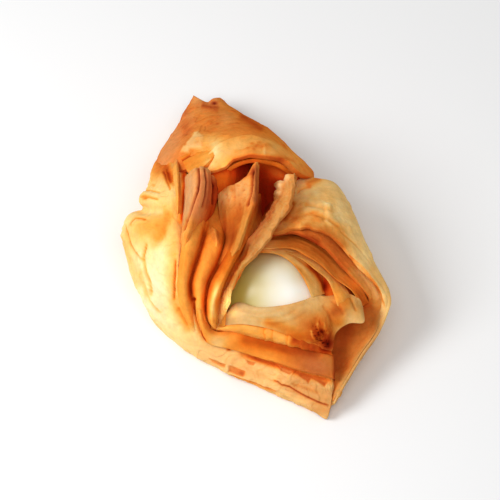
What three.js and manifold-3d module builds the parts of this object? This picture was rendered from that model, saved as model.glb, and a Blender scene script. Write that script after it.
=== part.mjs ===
// Egg puff: a parcel of flaky puff pastry folded round half a boiled egg, as it comes off the tray.
// Millimetres, +Z up, the flat underside on Z = 0, the near corner of the parcel towards -Y.
// The pastry is one solid: a low bed with folded sheets, pleats and shingled layers fused to it.
import * as THREE from "three";
import { mergeVertices } from "three/addons/utils/BufferGeometryUtils.js";
import Module from "manifold-3d";

const wasm = await Module();
wasm.setup();

// Driving dimensions, in millimetres and degrees
const SIGHT_ELEVATION = 55; // the guide points are measured along a sight line this far above the table
const BASE_THICK = 5; // the flat bottom stack of dough
const BASE_LEAVES = 3; // sheets that show in the bottom stack
const LEAF_STEP_BACK = 0.012; // each sheet of the stack is this share smaller than the one below
const BED_SHARE = 0.93; // the bed's outline against the bottom stack's
const BED_EDGE = 4; // height of the bed at its outline
const BED_CROWN = 2; // and this much more inside it
const SKIN = 3.2; // a folded side of the parcel
const SHEET = 2.2; // a single baked sheet
const LEAF = 1.6; // a thin free edge
const EGG_LENGTH = 48; // half a small hen's egg, cut face down
const EGG_WIDTH = 38;
const EGG_HEIGHT = 20.5;
const EGG_TAPER = 0.1; // how much slimmer its narrow end is
const EGG_PLACE = new THREE.Vector3(5.5, -23.5, 6); // middle of its cut face
const EGG_GAP = 0.3; // clearance between the egg and its pocket
const FLOOR_CLEAR = 0.5; // only the bottom stack reaches lower than this
const HOOD_FILL_DROP = 1.6; // the layers under the hood start this far below it
const HOOD_FILL_INSET = 0.92; // and are this share as wide
const LIP_DEPTH = 7; // how far the lips round the egg reach down
const LAYER_DEPTH = 9; // and the shingled layers, the band and the pocket
const TENT_DEPTH = 16; // and the tall tent-shaped pleat
const DEEP = 30; // folds this deep are solid down to the bottom stack
const LEAST_DEPTH = 1; // no fold is thinner than this
const EGG_LEAF_TAIL = 0.6; // the leaf beside the egg runs on below its guide rows by this share of its width
const HEART = new THREE.Vector3(0, -5, 0); // plan point that the stack's sheets and the bed draw in towards
const LEFT_CORE = new THREE.Vector3(-8, -8, 2); // the left flap's thickness points here
const RIGHT_CORE = new THREE.Vector3(12, -16, 2); // and the right flap's here
const BED_SQUARENESS = 6; // how steeply the bed drops at its outline
const HALF_FLAT = 1e-6; // heights on a unit ball below this belong to its lower half
const WELD = 1e-4; // points closer than this are one
const SLIVER = 0.06; // facets flatter than this are merged after the joins
const NORMAL_STEP = 1e-3; // share of a sheet stepped over to find which way it faces

// How finely round shapes are divided
const PLAN_STEPS = 48;
const BED_ROUND = 32;
const BED_RINGS = 14;
const EGG_ROUND = 36;
const EGG_RINGS = 22;

const sight = THREE.MathUtils.degToRad(SIGHT_ELEVATION);
const AWAY = new THREE.Vector3(0, Math.cos(sight), -Math.sin(sight)); // on along the sight line
const DOWN = new THREE.Vector3(0, 0, -1);

// A point from its place on a plane square to the sight line (across, up) and its height above the table
function at([across, up, height]) {
  const away = (up - height * Math.cos(sight)) / Math.sin(sight);
  return new THREE.Vector3(across, away, height);
}

// Plan of the bottom stack, from the far corner round the right side, the near corner and the left side
const BASE_PLAN = [
  [-16, 51], [-8, 49.5], [5, 36], [14, 25], [22, 14], [29, 4], [34, -8], [37.5, -20], [37, -30], [33, -41],
  [27, -53], [22.8, -61.6], [12, -56], [0, -49.5], [-12, -43.5], [-22, -35.5], [-30, -26], [-34.5, -14],
  [-36, -4], [-33, 7], [-29, 16], [-23, 33],
];

// Soft mounds of dough that fill the parcel under its folds: plan place, reach across and along, height
const MOUNDS = [
  { x: -24, y: -14, reach: [7, 20], rise: 20 },
  { x: 21, y: -3, reach: [9, 11], rise: 24 },
  { x: -7, y: 34, reach: [18, 13], rise: 12 },
  { x: 3, y: 11, reach: [13, 13], rise: 17 },
  { x: 8, y: -26, reach: [24, 16], rise: 10 },
];

// Guide rows of each sheet, root first and free edge last: across, up, height
const HOOD = [
  [[-17.1, 46.8, 7], [-15, 45.6, 8.5], [-12.9, 44.7, 9], [-11.4, 45.6, 9], [-9.3, 45.6, 8]],
  [[-23.4, 34.5, 12], [-17.1, 37.8, 19], [-9.6, 39.9, 21], [-2.4, 40.2, 18], [3.9, 36.9, 13.5]],
  [
    [-27.9, 26.1, 16], [-19.5, 31.2, 27], [-10.2, 33.3, 32], [0.6, 34.5, 33], [7.5, 33.3, 27],
    [12.3, 30.3, 18],
  ],
  [
    [-25.2, 21.6, 24], [-18, 24.3, 31], [-10.2, 23.4, 34], [-4.2, 27, 37], [2.4, 27.9, 39], [9.9, 26.7, 36],
    [15.9, 24, 28], [19.5, 22.2, 20],
  ],
];
const HOOD_LINING = [
  [[-9, 28.5, 28], [-3, 30, 30], [3, 30.6, 30], [9, 28.5, 27], [13, 25, 22]],
  [[-8.4, 22.5, 30], [-5.4, 25.5, 33.5], [-0.9, 27, 35.5], [3.6, 27, 36], [9, 25.8, 33.5], [13.5, 22.5, 27]],
];
const TUCK = [
  [[-21, 28, 28.5], [-16.5, 30, 30], [-12, 31.5, 31.5]],
  [[-18.6, 23.1, 33], [-14.1, 24.9, 35], [-9.9, 29.1, 35]],
];
const LEFT_FLAP = [
  [
    [-11.4, -34.5, 1.5], [-20.4, -28, 1.5], [-28.6, -20, 1.5], [-33.2, -11.5, 1.5], [-35.2, -4.2, 1.5],
    [-34.6, 0.4, 1.5], [-31.6, 5, 1.5], [-28.6, 11, 1.5], [-26.2, 18, 1.5], [-21.8, 25, 1.5],
  ],
  [
    [-12.6, -31.8, 6], [-21.9, -25.5, 6], [-31.2, -17, 7], [-35.6, -6.6, 10], [-38.7, 3.9, 14],
    [-37.2, 9.3, 16], [-33, 14.4, 17], [-30.3, 20.4, 17], [-28, 26.4, 14], [-22.5, 32, 9],
  ],
  [
    [-13.5, -28.8, 9], [-21, -19.8, 15], [-27.6, -10.5, 20], [-31.2, -1.5, 23], [-32.7, 6, 24.5],
    [-31.5, 11.4, 26], [-29.1, 16.5, 27], [-27.3, 22, 25], [-25.5, 27.6, 18], [-20, 33.5, 12],
  ],
  [
    [-13.2, -27.3, 11], [-18.9, -15.9, 23], [-21.9, -8.4, 29], [-22.5, 0, 33], [-23.1, 7.5, 34],
    [-23.4, 13.5, 34.5], [-23.7, 18.6, 35], [-24, 23.5, 32], [-23, 28, 23], [-18, 34, 14],
  ],
];
const RIGHT_FLAP = [
  [
    [9, 22, 1.5], [18, 13.6, 1.5], [26.6, 6, 1.5], [31.6, -3, 1.5], [35.6, -13.5, 1.5], [35.8, -23.4, 1.5],
    [30.8, -33.4, 1.5], [26, -42.6, 1.5], [22.6, -48.6, 1.5],
  ],
  [
    [10, 24.5, 14], [18.6, 20.4, 22], [25.8, 19.8, 23], [30.9, 11.4, 23], [36, -1.5, 22], [41.6, -13.8, 17],
    [38.1, -26, 12], [30.6, -37.8, 8], [24.6, -47.1, 4],
  ],
  [
    [8, 14, 25], [15.6, 15, 30], [22.5, 14.1, 31], [27, 7.5, 30.5], [33.3, -3.3, 27], [40.2, -14.7, 19],
    [36.6, -26.4, 13.5], [29.7, -37.8, 9], [24, -46.5, 5],
  ],
  [
    [6.6, 5, 30], [13.8, 6.3, 33], [19.5, 5.7, 33.5], [26.1, 2.4, 31.5], [31.5, -4.2, 28], [37.8, -12.6, 21],
    [34.8, -26.4, 13], [28.8, -37.2, 8.5], [23.7, -45.9, 5],
  ],
];
const RIGHT_UNDERLAP = [
  [
    [7.5, 9.6, 28], [12.6, 10.5, 29], [17.4, 9, 29.5], [22.5, 6, 29], [28.2, 0.9, 26], [33.6, -4.5, 22.5],
    [38.4, -10.5, 18],
  ],
  [
    [7.5, 4.8, 30.5], [12.6, 5.4, 31.5], [17.4, 3.6, 31.5], [22.5, 0.6, 30], [27.6, -5.1, 27],
    [32.4, -10.2, 23], [36.6, -15.6, 18],
  ],
];
const RIGHT_BAND = [
  [
    [6, 4.2, 26], [12.6, 4.5, 27], [18, 2.7, 26.5], [23.4, -0.9, 25], [28.2, -6.6, 22], [33, -12, 18],
    [36, -18.6, 13.5],
  ],
  [
    [4.2, 1.8, 27.5], [12.3, 2.4, 28], [17.4, 0.3, 27.7], [22.2, -3, 26.3], [26.7, -7.8, 24],
    [31.2, -12.9, 21], [35.1, -19.2, 17],
  ],
  [
    [2.7, 0, 29], [11.7, 0.3, 29], [16.5, -1.8, 28.6], [21, -4.5, 27.3], [25.5, -8.7, 25.3],
    [30.3, -12.3, 23], [34.5, -20.4, 19],
  ],
];
const OUTER_LIP = [
  [[12, 1.5, 25], [18, -0.6, 24.8], [22.8, -3.6, 23.5], [26.4, -7.5, 22], [27.5, -10, 21.5]],
  [[11.1, 0, 27], [16.5, -2.1, 26.8], [21, -4.8, 25.5], [24.9, -8.7, 24], [26, -11, 23.5]],
  [[10.5, -0.6, 28.3], [15.3, -2.7, 28.4], [19.2, -5.7, 27.4], [21.9, -9.6, 26], [24, -12, 24.5]],
];
const EGG_LIP = [
  [[3, 1.8, 27], [9.9, 1.2, 27], [15.3, -1.2, 26], [19.8, -4.8, 24.5], [22.8, -8.7, 23], [23.7, -12.3, 22]],
  [[2.4, 0.3, 28], [9, -0.3, 27.8], [14.1, -2.7, 27], [18.3, -6, 25.7], [21, -9.9, 24.2], [22.2, -12.9, 23]],
  [
    [1.5, -0.9, 29], [7.5, -1.2, 28.8], [12, -3.6, 28], [15, -7.2, 27.2], [17.1, -11.1, 25.6],
    [18.3, -14.1, 24],
  ],
];
const LID = [
  [
    [-9.9, -23.4, 14], [-4.2, -22.2, 18], [2.4, -22.8, 19], [9, -24.6, 18.5], [16.5, -27.9, 17],
    [24.3, -30.6, 14], [26.1, -24.9, 16.5], [30.3, -21.9, 18], [34.2, -21.6, 19], [33.6, -16.2, 21],
  ],
  [
    [-9.6, -22.8, 16], [-4.2, -18.9, 21], [2.4, -19.8, 21.5], [9.6, -20.4, 21.5], [15.9, -21.6, 21],
    [21.6, -22.5, 20.5], [24, -17.4, 22], [28.5, -16.5, 22.5], [30, -14, 23], [29.4, -12.6, 23.5],
  ],
  [
    [-9.3, -22.2, 18], [-4.2, -15.9, 22], [2.4, -17.1, 22.5], [9.9, -16.5, 23.6], [15, -15.3, 24],
    [18.3, -14.1, 24], [20.4, -12.6, 24.5], [21.9, -10.5, 25.3], [23.5, -9, 25.3], [25, -8.4, 25],
  ],
];
const CRIMP = [
  [
    [-10.2, -24.3, 13.6], [-3, -24.6, 15.8], [4.5, -26.4, 16.2], [12, -28.5, 15.6], [19.5, -30.3, 14.6],
    [24.9, -31.5, 13.6],
  ],
  [
    [-9.9, -23.4, 15.5], [-3, -22.5, 17.8], [4.5, -24, 18.3], [12, -26.7, 17.8], [18.6, -28.8, 16.3],
    [24.3, -30.6, 14],
  ],
  [[-9.6, -21, 15], [-3, -19.8, 17], [4.5, -21, 17.5], [12, -22.5, 17], [18.6, -24, 15.5], [24, -26, 14]],
];
const UPPER_SHINGLE = [
  [
    [-13.4, -21.5, 11], [-9.6, -22.6, 13.6], [-3, -23.9, 14.9], [6, -26, 15], [15, -28.7, 14.4],
    [25.2, -30.9, 13.2],
  ],
  [
    [-13.4, -28.6, 6.5], [-9.8, -29, 9], [-3, -30.6, 10], [6, -33.3, 10.5], [15.6, -36.6, 10.5],
    [25.8, -39, 10],
  ],
];
const LOWER_SHINGLE = [
  [
    [-13.8, -27.5, 5.5], [-10, -27.5, 8], [-1.5, -29, 9.5], [7.5, -32, 9.5], [16.5, -34.4, 9.5],
    [25.5, -36.8, 9],
  ],
  [
    [-14.6, -32.4, 2], [-11, -34, 3.5], [-3, -37.2, 4.5], [7.5, -39.3, 5.4], [15, -42.9, 5.4],
    [24.3, -46.5, 5.4],
  ],
];
const POCKET = [
  [
    [39.9, -14.5, 17], [38.4, -20.4, 14], [36, -25.5, 12], [32.1, -31.8, 9.5], [28.5, -38.4, 7],
    [25.5, -44.4, 5],
  ],
  [[37, -14, 15], [35.4, -18.5, 12], [31.5, -24.6, 9], [28.8, -30, 7.5], [27.3, -36, 6], [25.2, -42.6, 5]],
  [[33, -12, 16], [30.5, -16, 14], [26, -20.5, 12], [22, -27.5, 8.5], [22, -34.5, 6], [23.5, -41, 4.5]],
];
const LEFT_LEAF = [
  [[-23.7, 27, 32], [-23.7, 19.5, 33], [-22.8, 13.5, 33], [-22.5, 7.8, 32]],
  [[-21.3, 27.6, 38], [-20.1, 21.6, 39], [-20.4, 15.6, 38], [-21, 9.3, 35.5]],
];
const FIRST_PLEAT = [
  [[-19.5, 22, 30], [-19.8, 15, 31], [-21, 8.4, 31], [-22, 0, 30], [-22.8, -8, 26], [-22.5, -16, 20]],
  [[-17.1, 23.7, 42], [-18, 16.5, 42], [-19.5, 9.9, 40], [-20.7, 3, 37], [-21.6, -6, 32], [-21.3, -15, 25]],
  [
    [-15.3, 23.4, 38], [-15.9, 18, 38], [-18, 10.8, 37], [-19.8, 3.6, 34.5], [-21, -5.4, 30.5],
    [-20.7, -15, 23.5],
  ],
];
const SECOND_PLEAT = [
  [
    [-15.6, 23.4, 38], [-16.2, 18, 38], [-18.3, 10.8, 37], [-20.1, 3.6, 34.5], [-21.3, -5.4, 30],
    [-20.7, -15, 23], [-18.6, -22.5, 14], [-14, -28, 9],
  ],
  [
    [-14.1, 24.9, 45], [-14.7, 18, 45], [-16.5, 10.8, 43], [-18.6, 1.5, 38.5], [-19.5, -7.5, 33.5],
    [-19.5, -15, 27], [-18, -21.6, 18], [-13.5, -27.6, 10],
  ],
  [
    [-13.2, 23.4, 40], [-13.2, 17.4, 39.5], [-14.1, 10.5, 36], [-15.3, 1.5, 31], [-17.4, -7.5, 28],
    [-18, -14.4, 23], [-16.2, -21.6, 16], [-13.2, -27.6, 9],
  ],
];
const THIRD_PLEAT = [
  [[-13.4, 23.4, 40], [-13.4, 17.4, 39.5], [-14.1, 10.5, 36], [-14.1, 6, 31]],
  [[-11.7, 23.7, 43], [-11.7, 17.4, 42.5], [-12.3, 11.4, 39.5], [-12.3, 7.5, 34]],
  [[-9.6, 20.1, 31], [-9.9, 13.5, 29], [-10.8, 8, 29], [-11.4, 5, 28]],
];
const MIDDLE_RIDGE = [
  [
    [-13.5, 8.4, 29], [-14.1, 1.5, 29], [-16.8, -6.6, 27], [-17.7, -14.1, 23], [-16.2, -21.6, 16],
    [-13.2, -27.3, 9],
  ],
  [
    [-10.2, 6.3, 37], [-10.2, 0, 36], [-13.8, -7.2, 33], [-15.3, -13.5, 29], [-14.1, -19.8, 22],
    [-11.4, -25.8, 13],
  ],
  [
    [-8.1, 4.2, 28], [-8.7, 0, 28], [-11.7, -5.4, 26.5], [-13.2, -11.4, 24], [-13.2, -17.4, 20],
    [-11.7, -23.4, 14],
  ],
];
const TENT_PLEAT = [
  [
    [-8.7, 16.5, 29], [-8.1, 9.6, 29], [-8.7, 2.4, 28], [-11.7, -4.5, 26], [-13.2, -10.5, 24],
    [-13.2, -16.5, 20], [-12.4, -20, 17], [-11.7, -22.8, 15],
  ],
  [
    [1.8, 26.1, 43], [1.2, 15.6, 42.5], [-1.2, 8.4, 41], [-3.9, 0.9, 38.5], [-7.5, -5.4, 35.5],
    [-10.2, -11.1, 32], [-11.4, -16.8, 27], [-11.1, -22.2, 20],
  ],
  [
    [3.6, 20, 22], [2.7, 11.4, 25], [0.6, 5.4, 26], [-3, -1.5, 26], [-6.3, -7.5, 25],
    [-8.7, -12.9, 22], [-9.9, -18, 19], [-10.2, -22.2, 16],
  ],
];
const EGG_LEAF = [
  [
    [8.1, 18.9, 24], [5.4, 11.4, 24], [1.5, 5.4, 24], [-2.4, -1.8, 24], [-6.3, -8.4, 23],
    [-8.4, -14.4, 20], [-9.2, -18.5, 17.5], [-9.9, -21.6, 15],
  ],
  [
    [13.2, 23.1, 41], [12.3, 15.9, 39.5], [8.1, 7.5, 37], [3, 0.9, 35], [-2.7, -5.7, 32.5],
    [-5.1, -11.4, 30], [-5.4, -15.9, 26], [-9.3, -22.2, 18],
  ],
];

// Smooth surface through guide rows: u runs along a row and v from the first to the last, straight before it
function surfaceThrough(rows) {
  const through = (points) => new THREE.CatmullRomCurve3(points, false, "catmullrom");
  const curves = rows.map((row) => through(row.map(at)));
  return (u, v) => {
    const across = curves.map((curve) => curve.getPoint(u));
    const point = through(across).getPoint(THREE.MathUtils.clamp(v, 0, 1));
    if (v < 0) {
      point.addScaledVector(across[1].clone().sub(across[0]), v);
    }
    return point;
  };
}

// Closed body between two grids of points of the same size, joined round their borders
function bodyBetween(over, under) {
  const columns = over.length;
  const stations = over[0].length;
  const positions = [...over.flat(), ...under.flat()].flatMap((point) => point.toArray());
  const top = (i, j) => i * stations + j;
  const low = (i, j) => columns * stations + top(i, j);
  const faces = [];
  const quad = (a, b, c, d) => faces.push(a, b, c, a, c, d);
  for (let i = 0; i + 1 < columns; i += 1) {
    for (let j = 0; j + 1 < stations; j += 1) {
      quad(top(i, j), top(i + 1, j), top(i + 1, j + 1), top(i, j + 1));
      quad(low(i, j), low(i, j + 1), low(i + 1, j + 1), low(i + 1, j));
    }
    quad(top(i + 1, 0), top(i, 0), low(i, 0), low(i + 1, 0));
    quad(top(i, stations - 1), top(i + 1, stations - 1), low(i + 1, stations - 1), low(i, stations - 1));
  }
  for (let j = 0; j + 1 < stations; j += 1) {
    quad(top(0, j), top(0, j + 1), low(0, j + 1), low(0, j));
    quad(top(columns - 1, j + 1), top(columns - 1, j), low(columns - 1, j), low(columns - 1, j + 1));
  }
  const geometry = new THREE.BufferGeometry();
  geometry.setAttribute("position", new THREE.Float32BufferAttribute(positions, 3));
  geometry.setIndex(faces);
  return geometry;
}

// A solid for joining and cutting, its faces turned outwards
function solidOf(geometry) {
  const bare = geometry.clone();
  bare.deleteAttribute("normal");
  bare.deleteAttribute("uv");
  const merged = mergeVertices(bare, WELD);
  const vertProperties = new Float32Array(merged.attributes.position.array);
  const triVerts = new Uint32Array(merged.index.array);
  const made = new wasm.Manifold(new wasm.Mesh({ numProp: 3, vertProperties, triVerts }));
  if (made.volume() > 0) {
    return made;
  }
  const turned = triVerts.map((_, k) => triVerts[k - (k % 3) + [0, 2, 1][k % 3]]);
  return new wasm.Manifold(new wasm.Mesh({ numProp: 3, vertProperties, triVerts: turned }));
}

// Points placed over a sheet, column by column, from its tail to its free edge
function gridOf(columns, stations, tail, place) {
  return Array.from({ length: columns + 1 }, (_, i) =>
    Array.from({ length: stations + 1 }, (__, j) => place(i / columns, (1 + tail) * (j / stations) - tail)),
  );
}

// Unit normal of a surface by small steps along and across it
function normalAt(surface, u, v) {
  const middle = THREE.MathUtils.clamp(u, NORMAL_STEP, 1 - NORMAL_STEP);
  const along = surface(middle + NORMAL_STEP, v).sub(surface(middle - NORMAL_STEP, v));
  const out = surface(middle, Math.min(1, v + NORMAL_STEP)).sub(surface(middle, v - NORMAL_STEP));
  return along.cross(out).normalize();
}

// A sheet of even thickness behind its surface, or towards a core point; tail carries it on below its root
function leaf(rows, thick, { columns, stations, tail = 0, core = null }) {
  const surface = surfaceThrough(rows);
  const shifted = (depth) => (u, v) => {
    const point = surface(u, v);
    const inward = core ? core.clone().sub(point).normalize() : normalAt(surface, u, v);
    point.addScaledVector(inward, depth);
    return point.setZ(Math.max(point.z, FLOOR_CLEAR));
  };
  const over = gridOf(columns, stations, tail, shifted(0));
  const under = gridOf(columns, stations, tail, shifted(thick));
  return solidOf(bodyBetween(over, under));
}

// A fold that is solid underneath: its surface carried by a depth along a line, but not through the table
function fold(rows, depth, { columns, stations, along = AWAY }) {
  const surface = surfaceThrough(rows);
  const over = gridOf(columns, stations, 0, surface);
  const under = gridOf(columns, stations, 0, (u, v) => {
    const point = surface(u, v);
    const floor = Math.min(BASE_THICK / 2, point.z - LEAST_DEPTH);
    return point.addScaledVector(along, Math.min(depth, (floor - point.z) / along.z));
  });
  return solidOf(bodyBetween(over, under));
}

// The parcel's plan as one closed curve
const plan = new THREE.CatmullRomCurve3(BASE_PLAN.map(([x, y]) => new THREE.Vector3(x, y, 0)), true);

// A plan point drawn in towards the parcel's heart
function drawnIn(point, share) {
  return point.clone().sub(HEART).multiplyScalar(share).add(HEART);
}

// The bottom stack: flat sheets with the parcel's plan, each a little smaller than the one below
function bottomStack() {
  const thick = BASE_THICK / BASE_LEAVES;
  const bite = thick / 8; // each sheet is pressed this far into the one below
  const outline = plan.getPoints(PLAN_STEPS).slice(0, -1);
  return Array.from({ length: BASE_LEAVES }, (_, k) => {
    const points = outline.map((point) => drawnIn(point, 1 - LEAF_STEP_BACK * k));
    const shape = new THREE.Shape(points.map((point) => new THREE.Vector2(point.x, point.y)));
    const overlap = k > 0 ? bite : 0;
    const sheet = new THREE.ExtrudeGeometry(shape, { depth: thick + overlap, bevelEnabled: false });
    sheet.translate(0, 0, k * thick - overlap);
    return solidOf(sheet);
  });
}

// The bed: a flattened ball with the same plan, raised in soft mounds under the folds
function bed() {
  const ball = new THREE.SphereGeometry(1, BED_ROUND, BED_RINGS);
  ball.rotateX(Math.PI / 2);
  const place = ball.attributes.position;
  for (let k = 0; k < place.count; k += 1) {
    const reach = Math.min(1, Math.hypot(place.getX(k), place.getY(k)));
    const point = drawnIn(plan.getPoint(ball.attributes.uv.getX(k) % 1), BED_SHARE * reach);
    const rise = MOUNDS.reduce((sum, mound) => {
      const far = ((point.x - mound.x) / mound.reach[0]) ** 2 + ((point.y - mound.y) / mound.reach[1]) ** 2;
      return sum + mound.rise * Math.exp(-far);
    }, BED_CROWN);
    const upper = place.getZ(k) > -HALF_FLAT;
    const height = BED_EDGE + rise * (1 - reach ** BED_SQUARENESS);
    place.setXYZ(k, point.x, point.y, upper ? height : FLOOR_CLEAR);
  }
  return solidOf(ball);
}

// Half an egg, cut face down; grow swells it for its pocket
function halfEgg(grow) {
  const ball = new THREE.SphereGeometry(1, EGG_ROUND, EGG_RINGS);
  ball.rotateX(Math.PI / 2);
  const place = ball.attributes.position;
  for (let k = 0; k < place.count; k += 1) {
    const slim = 1 + EGG_TAPER * place.getX(k);
    const x = place.getX(k) * (EGG_LENGTH / 2 + grow);
    const y = place.getY(k) * (EGG_WIDTH / 2 + grow) * slim;
    const dome = place.getZ(k) * (EGG_HEIGHT + grow) * slim;
    place.setXYZ(k, x, y, place.getZ(k) > HALF_FLAT ? dome : -grow);
  }
  ball.translate(EGG_PLACE.x, EGG_PLACE.y, EGG_PLACE.z);
  return solidOf(ball);
}

// Guide rows of the layers under the back of the hood: its own first rows, drawn in and lowered
function hoodFill() {
  return HOOD.slice(0, 3).map((row) => {
    const centre = row.reduce((sum, point) => sum + point[0], 0) / row.length;
    return row.map(([across, up, height]) => [
      centre + (across - centre) * HOOD_FILL_INSET,
      up - HOOD_FILL_DROP,
      height - HOOD_FILL_DROP,
    ]);
  });
}

// All the pastry as one solid, with the egg's pocket cut out and loose scraps and sealed hollows dropped
function pastrySolid() {
  const pieces = [
    ...bottomStack(),
    bed(),
    leaf(HOOD, SHEET, { columns: 14, stations: 7 }),
    fold(hoodFill(), DEEP, { columns: 10, stations: 4, along: DOWN }),
    leaf(HOOD_LINING, LEAF, { columns: 10, stations: 2 }),
    leaf(TUCK, LEAF, { columns: 6, stations: 2 }),
    leaf(LEFT_FLAP, SKIN, { columns: 20, stations: 7, core: LEFT_CORE }),
    fold(LEFT_FLAP.slice(2), DEEP, { columns: 14, stations: 2, along: DOWN }),
    leaf(RIGHT_FLAP, SKIN, { columns: 20, stations: 7, core: RIGHT_CORE }),
    leaf(RIGHT_UNDERLAP, LEAF, { columns: 14, stations: 1 }),
    fold(RIGHT_BAND, LAYER_DEPTH, { columns: 14, stations: 3 }),
    fold(OUTER_LIP, LIP_DEPTH, { columns: 9, stations: 3 }),
    fold(EGG_LIP, LIP_DEPTH, { columns: 11, stations: 3 }),
    fold(LID, DEEP, { columns: 20, stations: 4 }),
    fold(CRIMP, LAYER_DEPTH, { columns: 11, stations: 4 }),
    fold(UPPER_SHINGLE, LAYER_DEPTH, { columns: 10, stations: 1 }),
    fold(LOWER_SHINGLE, LAYER_DEPTH, { columns: 10, stations: 1 }),
    fold(POCKET, LAYER_DEPTH, { columns: 10, stations: 4 }),
    leaf(LEFT_LEAF, LEAF, { columns: 7, stations: 1 }),
    fold(FIRST_PLEAT, DEEP, { columns: 11, stations: 4 }),
    fold(SECOND_PLEAT, DEEP, { columns: 14, stations: 4 }),
    fold(THIRD_PLEAT, DEEP, { columns: 8, stations: 4 }),
    fold(MIDDLE_RIDGE, DEEP, { columns: 11, stations: 4 }),
    fold(TENT_PLEAT, TENT_DEPTH, { columns: 14, stations: 6 }),
    leaf(EGG_LEAF, SHEET, { columns: 14, stations: 3, tail: EGG_LEAF_TAIL }),
  ];
  const joined = pieces.reduce((sum, piece) => sum.add(piece));
  const cut = joined.subtract(halfEgg(EGG_GAP)).simplify(SLIVER);
  const bodies = cut.decompose().sort((a, b) => b.volume() - a.volume());
  return bodies[0];
}

function meshOf(name, solid, material) {
  const { vertProperties, triVerts } = solid.getMesh();
  const geometry = new THREE.BufferGeometry();
  geometry.setAttribute("position", new THREE.Float32BufferAttribute(vertProperties, 3));
  geometry.setIndex(Array.from(triVerts));
  geometry.computeVertexNormals();
  const mesh = new THREE.Mesh(geometry, material);
  mesh.name = name;
  return mesh;
}

const baked = new THREE.MeshStandardMaterial({ color: 0xe0a35a, roughness: 0.6, metalness: 0 });
const white = new THREE.MeshStandardMaterial({ color: 0xf4f0e2, roughness: 0.3, metalness: 0 });

const pastry = meshOf("pastry", pastrySolid(), baked);
const egg = meshOf("egg", halfEgg(0), white);

// The origin is the middle of the underside's box
const box = new THREE.Box3().setFromObject(pastry);
const middle = box.getCenter(new THREE.Vector3());
const eggPuff = new THREE.Group();
eggPuff.add(pastry, egg);
eggPuff.position.set(-middle.x, -middle.y, -box.min.z);

export default eggPuff;
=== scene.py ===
"""Egg puff: baked sheets of puff pastry folded over half a boiled egg.

Every sheet is a surface through guide rows, worked out on a grid with numpy. Creases, steps, blisters and
flakes are laid on it by formula, and its browning, with painted shade and painted light, is kept in a colour
attribute that the crust reads.
The marks on a sheet are placed in the picture: a path, middle, corner or region, and the width, size or
reach of the mark there, is in pixels, right and down from the upper left. Other lengths are millimetres.
"""
import math

import bpy
import numpy as np
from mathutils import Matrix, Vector


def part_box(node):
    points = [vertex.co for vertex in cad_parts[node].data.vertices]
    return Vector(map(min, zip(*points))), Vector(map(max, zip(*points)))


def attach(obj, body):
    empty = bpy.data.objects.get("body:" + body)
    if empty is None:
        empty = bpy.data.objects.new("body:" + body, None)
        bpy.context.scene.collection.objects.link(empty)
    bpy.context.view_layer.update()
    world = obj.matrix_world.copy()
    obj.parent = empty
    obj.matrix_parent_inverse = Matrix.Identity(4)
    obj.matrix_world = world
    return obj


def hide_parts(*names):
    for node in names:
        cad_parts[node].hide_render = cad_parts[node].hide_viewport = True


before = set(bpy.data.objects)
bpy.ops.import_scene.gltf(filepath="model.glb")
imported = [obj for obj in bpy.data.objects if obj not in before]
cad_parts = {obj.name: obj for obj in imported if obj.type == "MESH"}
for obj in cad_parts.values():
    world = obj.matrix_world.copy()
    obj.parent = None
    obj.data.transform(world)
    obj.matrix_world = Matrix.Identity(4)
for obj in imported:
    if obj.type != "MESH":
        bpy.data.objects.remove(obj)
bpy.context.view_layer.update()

MM = 0.001  # metres
SIGHT = math.radians(55)  # the guide rows are measured square to a sight line this far above the table
TOWARDS = np.array([0.0, -math.cos(SIGHT), math.sin(SIGHT)])  # from the puff to the eye
PICTURE = 500  # pixels across the picture
CENTRE = PICTURE / 2
PIXEL = 0.3  # millimetres of the guide plane to one pixel

# Half egg
EGG_LENGTH = 48.0
EGG_WIDTH = 38.0
EGG_HEIGHT = 20.5
EGG_TAPER = 0.1  # share by which the right end is fuller and the left end slimmer
EGG_PLACE = np.array([5.5, -23.5, 6.0])  # middle of the cut face
EGG_GAP = 0.15  # between the white and any crust
EGG_SHADE = np.array([0.70, 0.58, 0.12])  # painted shade and reflected pastry colour on the white beside the leaf
EGG_SHADE_START, EGG_SHADE_END = -4.0, 13.0  # places across, from all of the painted shade to none
LIP_SHADE = np.array([0.78, 0.70, 0.50])  # painted shadow of the lip on the white
LIP_SHADE_REACH = 12.0  # pixels from the lip's edge
LIP_SHADE_POINTS = 4  # points of the lip's edge that cast it

# Grid of a sheet
CELL = 0.27  # of its face, unless the sheet says otherwise
MOST_CELLS = 84000
LEAST_COLUMNS, LEAST_STATIONS = 8, 5  # cells of its back, along and across
BACK_STEP = 3  # a sheet's back is this many times coarser than its face
CROWDING = 0.6  # share by which the cells are shorter at its ends and longer in its middle
TEAR_SIZE, TEAR_MEAN = 7.0, 0.5  # of a ragged edge's waves, and their mean depth as a share of its raggedness
TEAR_SEED = 60  # added to the sheet's own seed
CREASE_START, STROKE_START = -0.01, -0.05  # shares along a path where the fade at its ends starts
TINY = 1e-9

# Rim and back of a leaf or fold
RIM_SHARE = 0.8  # width of a leaf's round rim, as a share of its thickness
RIM_DROOP = 0.35  # how far a leaf's rim falls away from the eye
RIM_BAKE_WIDTH = 1.2  # of the browner band along a leaf's rim
LEAF_BACK_BAKE, FOLD_BACK_BAKE = 0.06, 0.1  # how much browner the back is
LEAST_HEIGHT = 0.5  # of a leaf over the table
LEAST_DEPTH = 1  # of a fold

# Bottom of the parcel
BASE_THICK = 5.0
BASE_LEAVES = 3
HEART = np.array([0.0, -5.0])  # the point of the plan towards which rings are drawn in

# Layers under the back of the hood
FILL_WIDTH = 0.74  # share of the hood's width
FILL_BELOW = 1.6  # under the hood's rows
FILL_INWARD = (6.8, 3.2, 1.6)  # inside each of the hood's first rows

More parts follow.
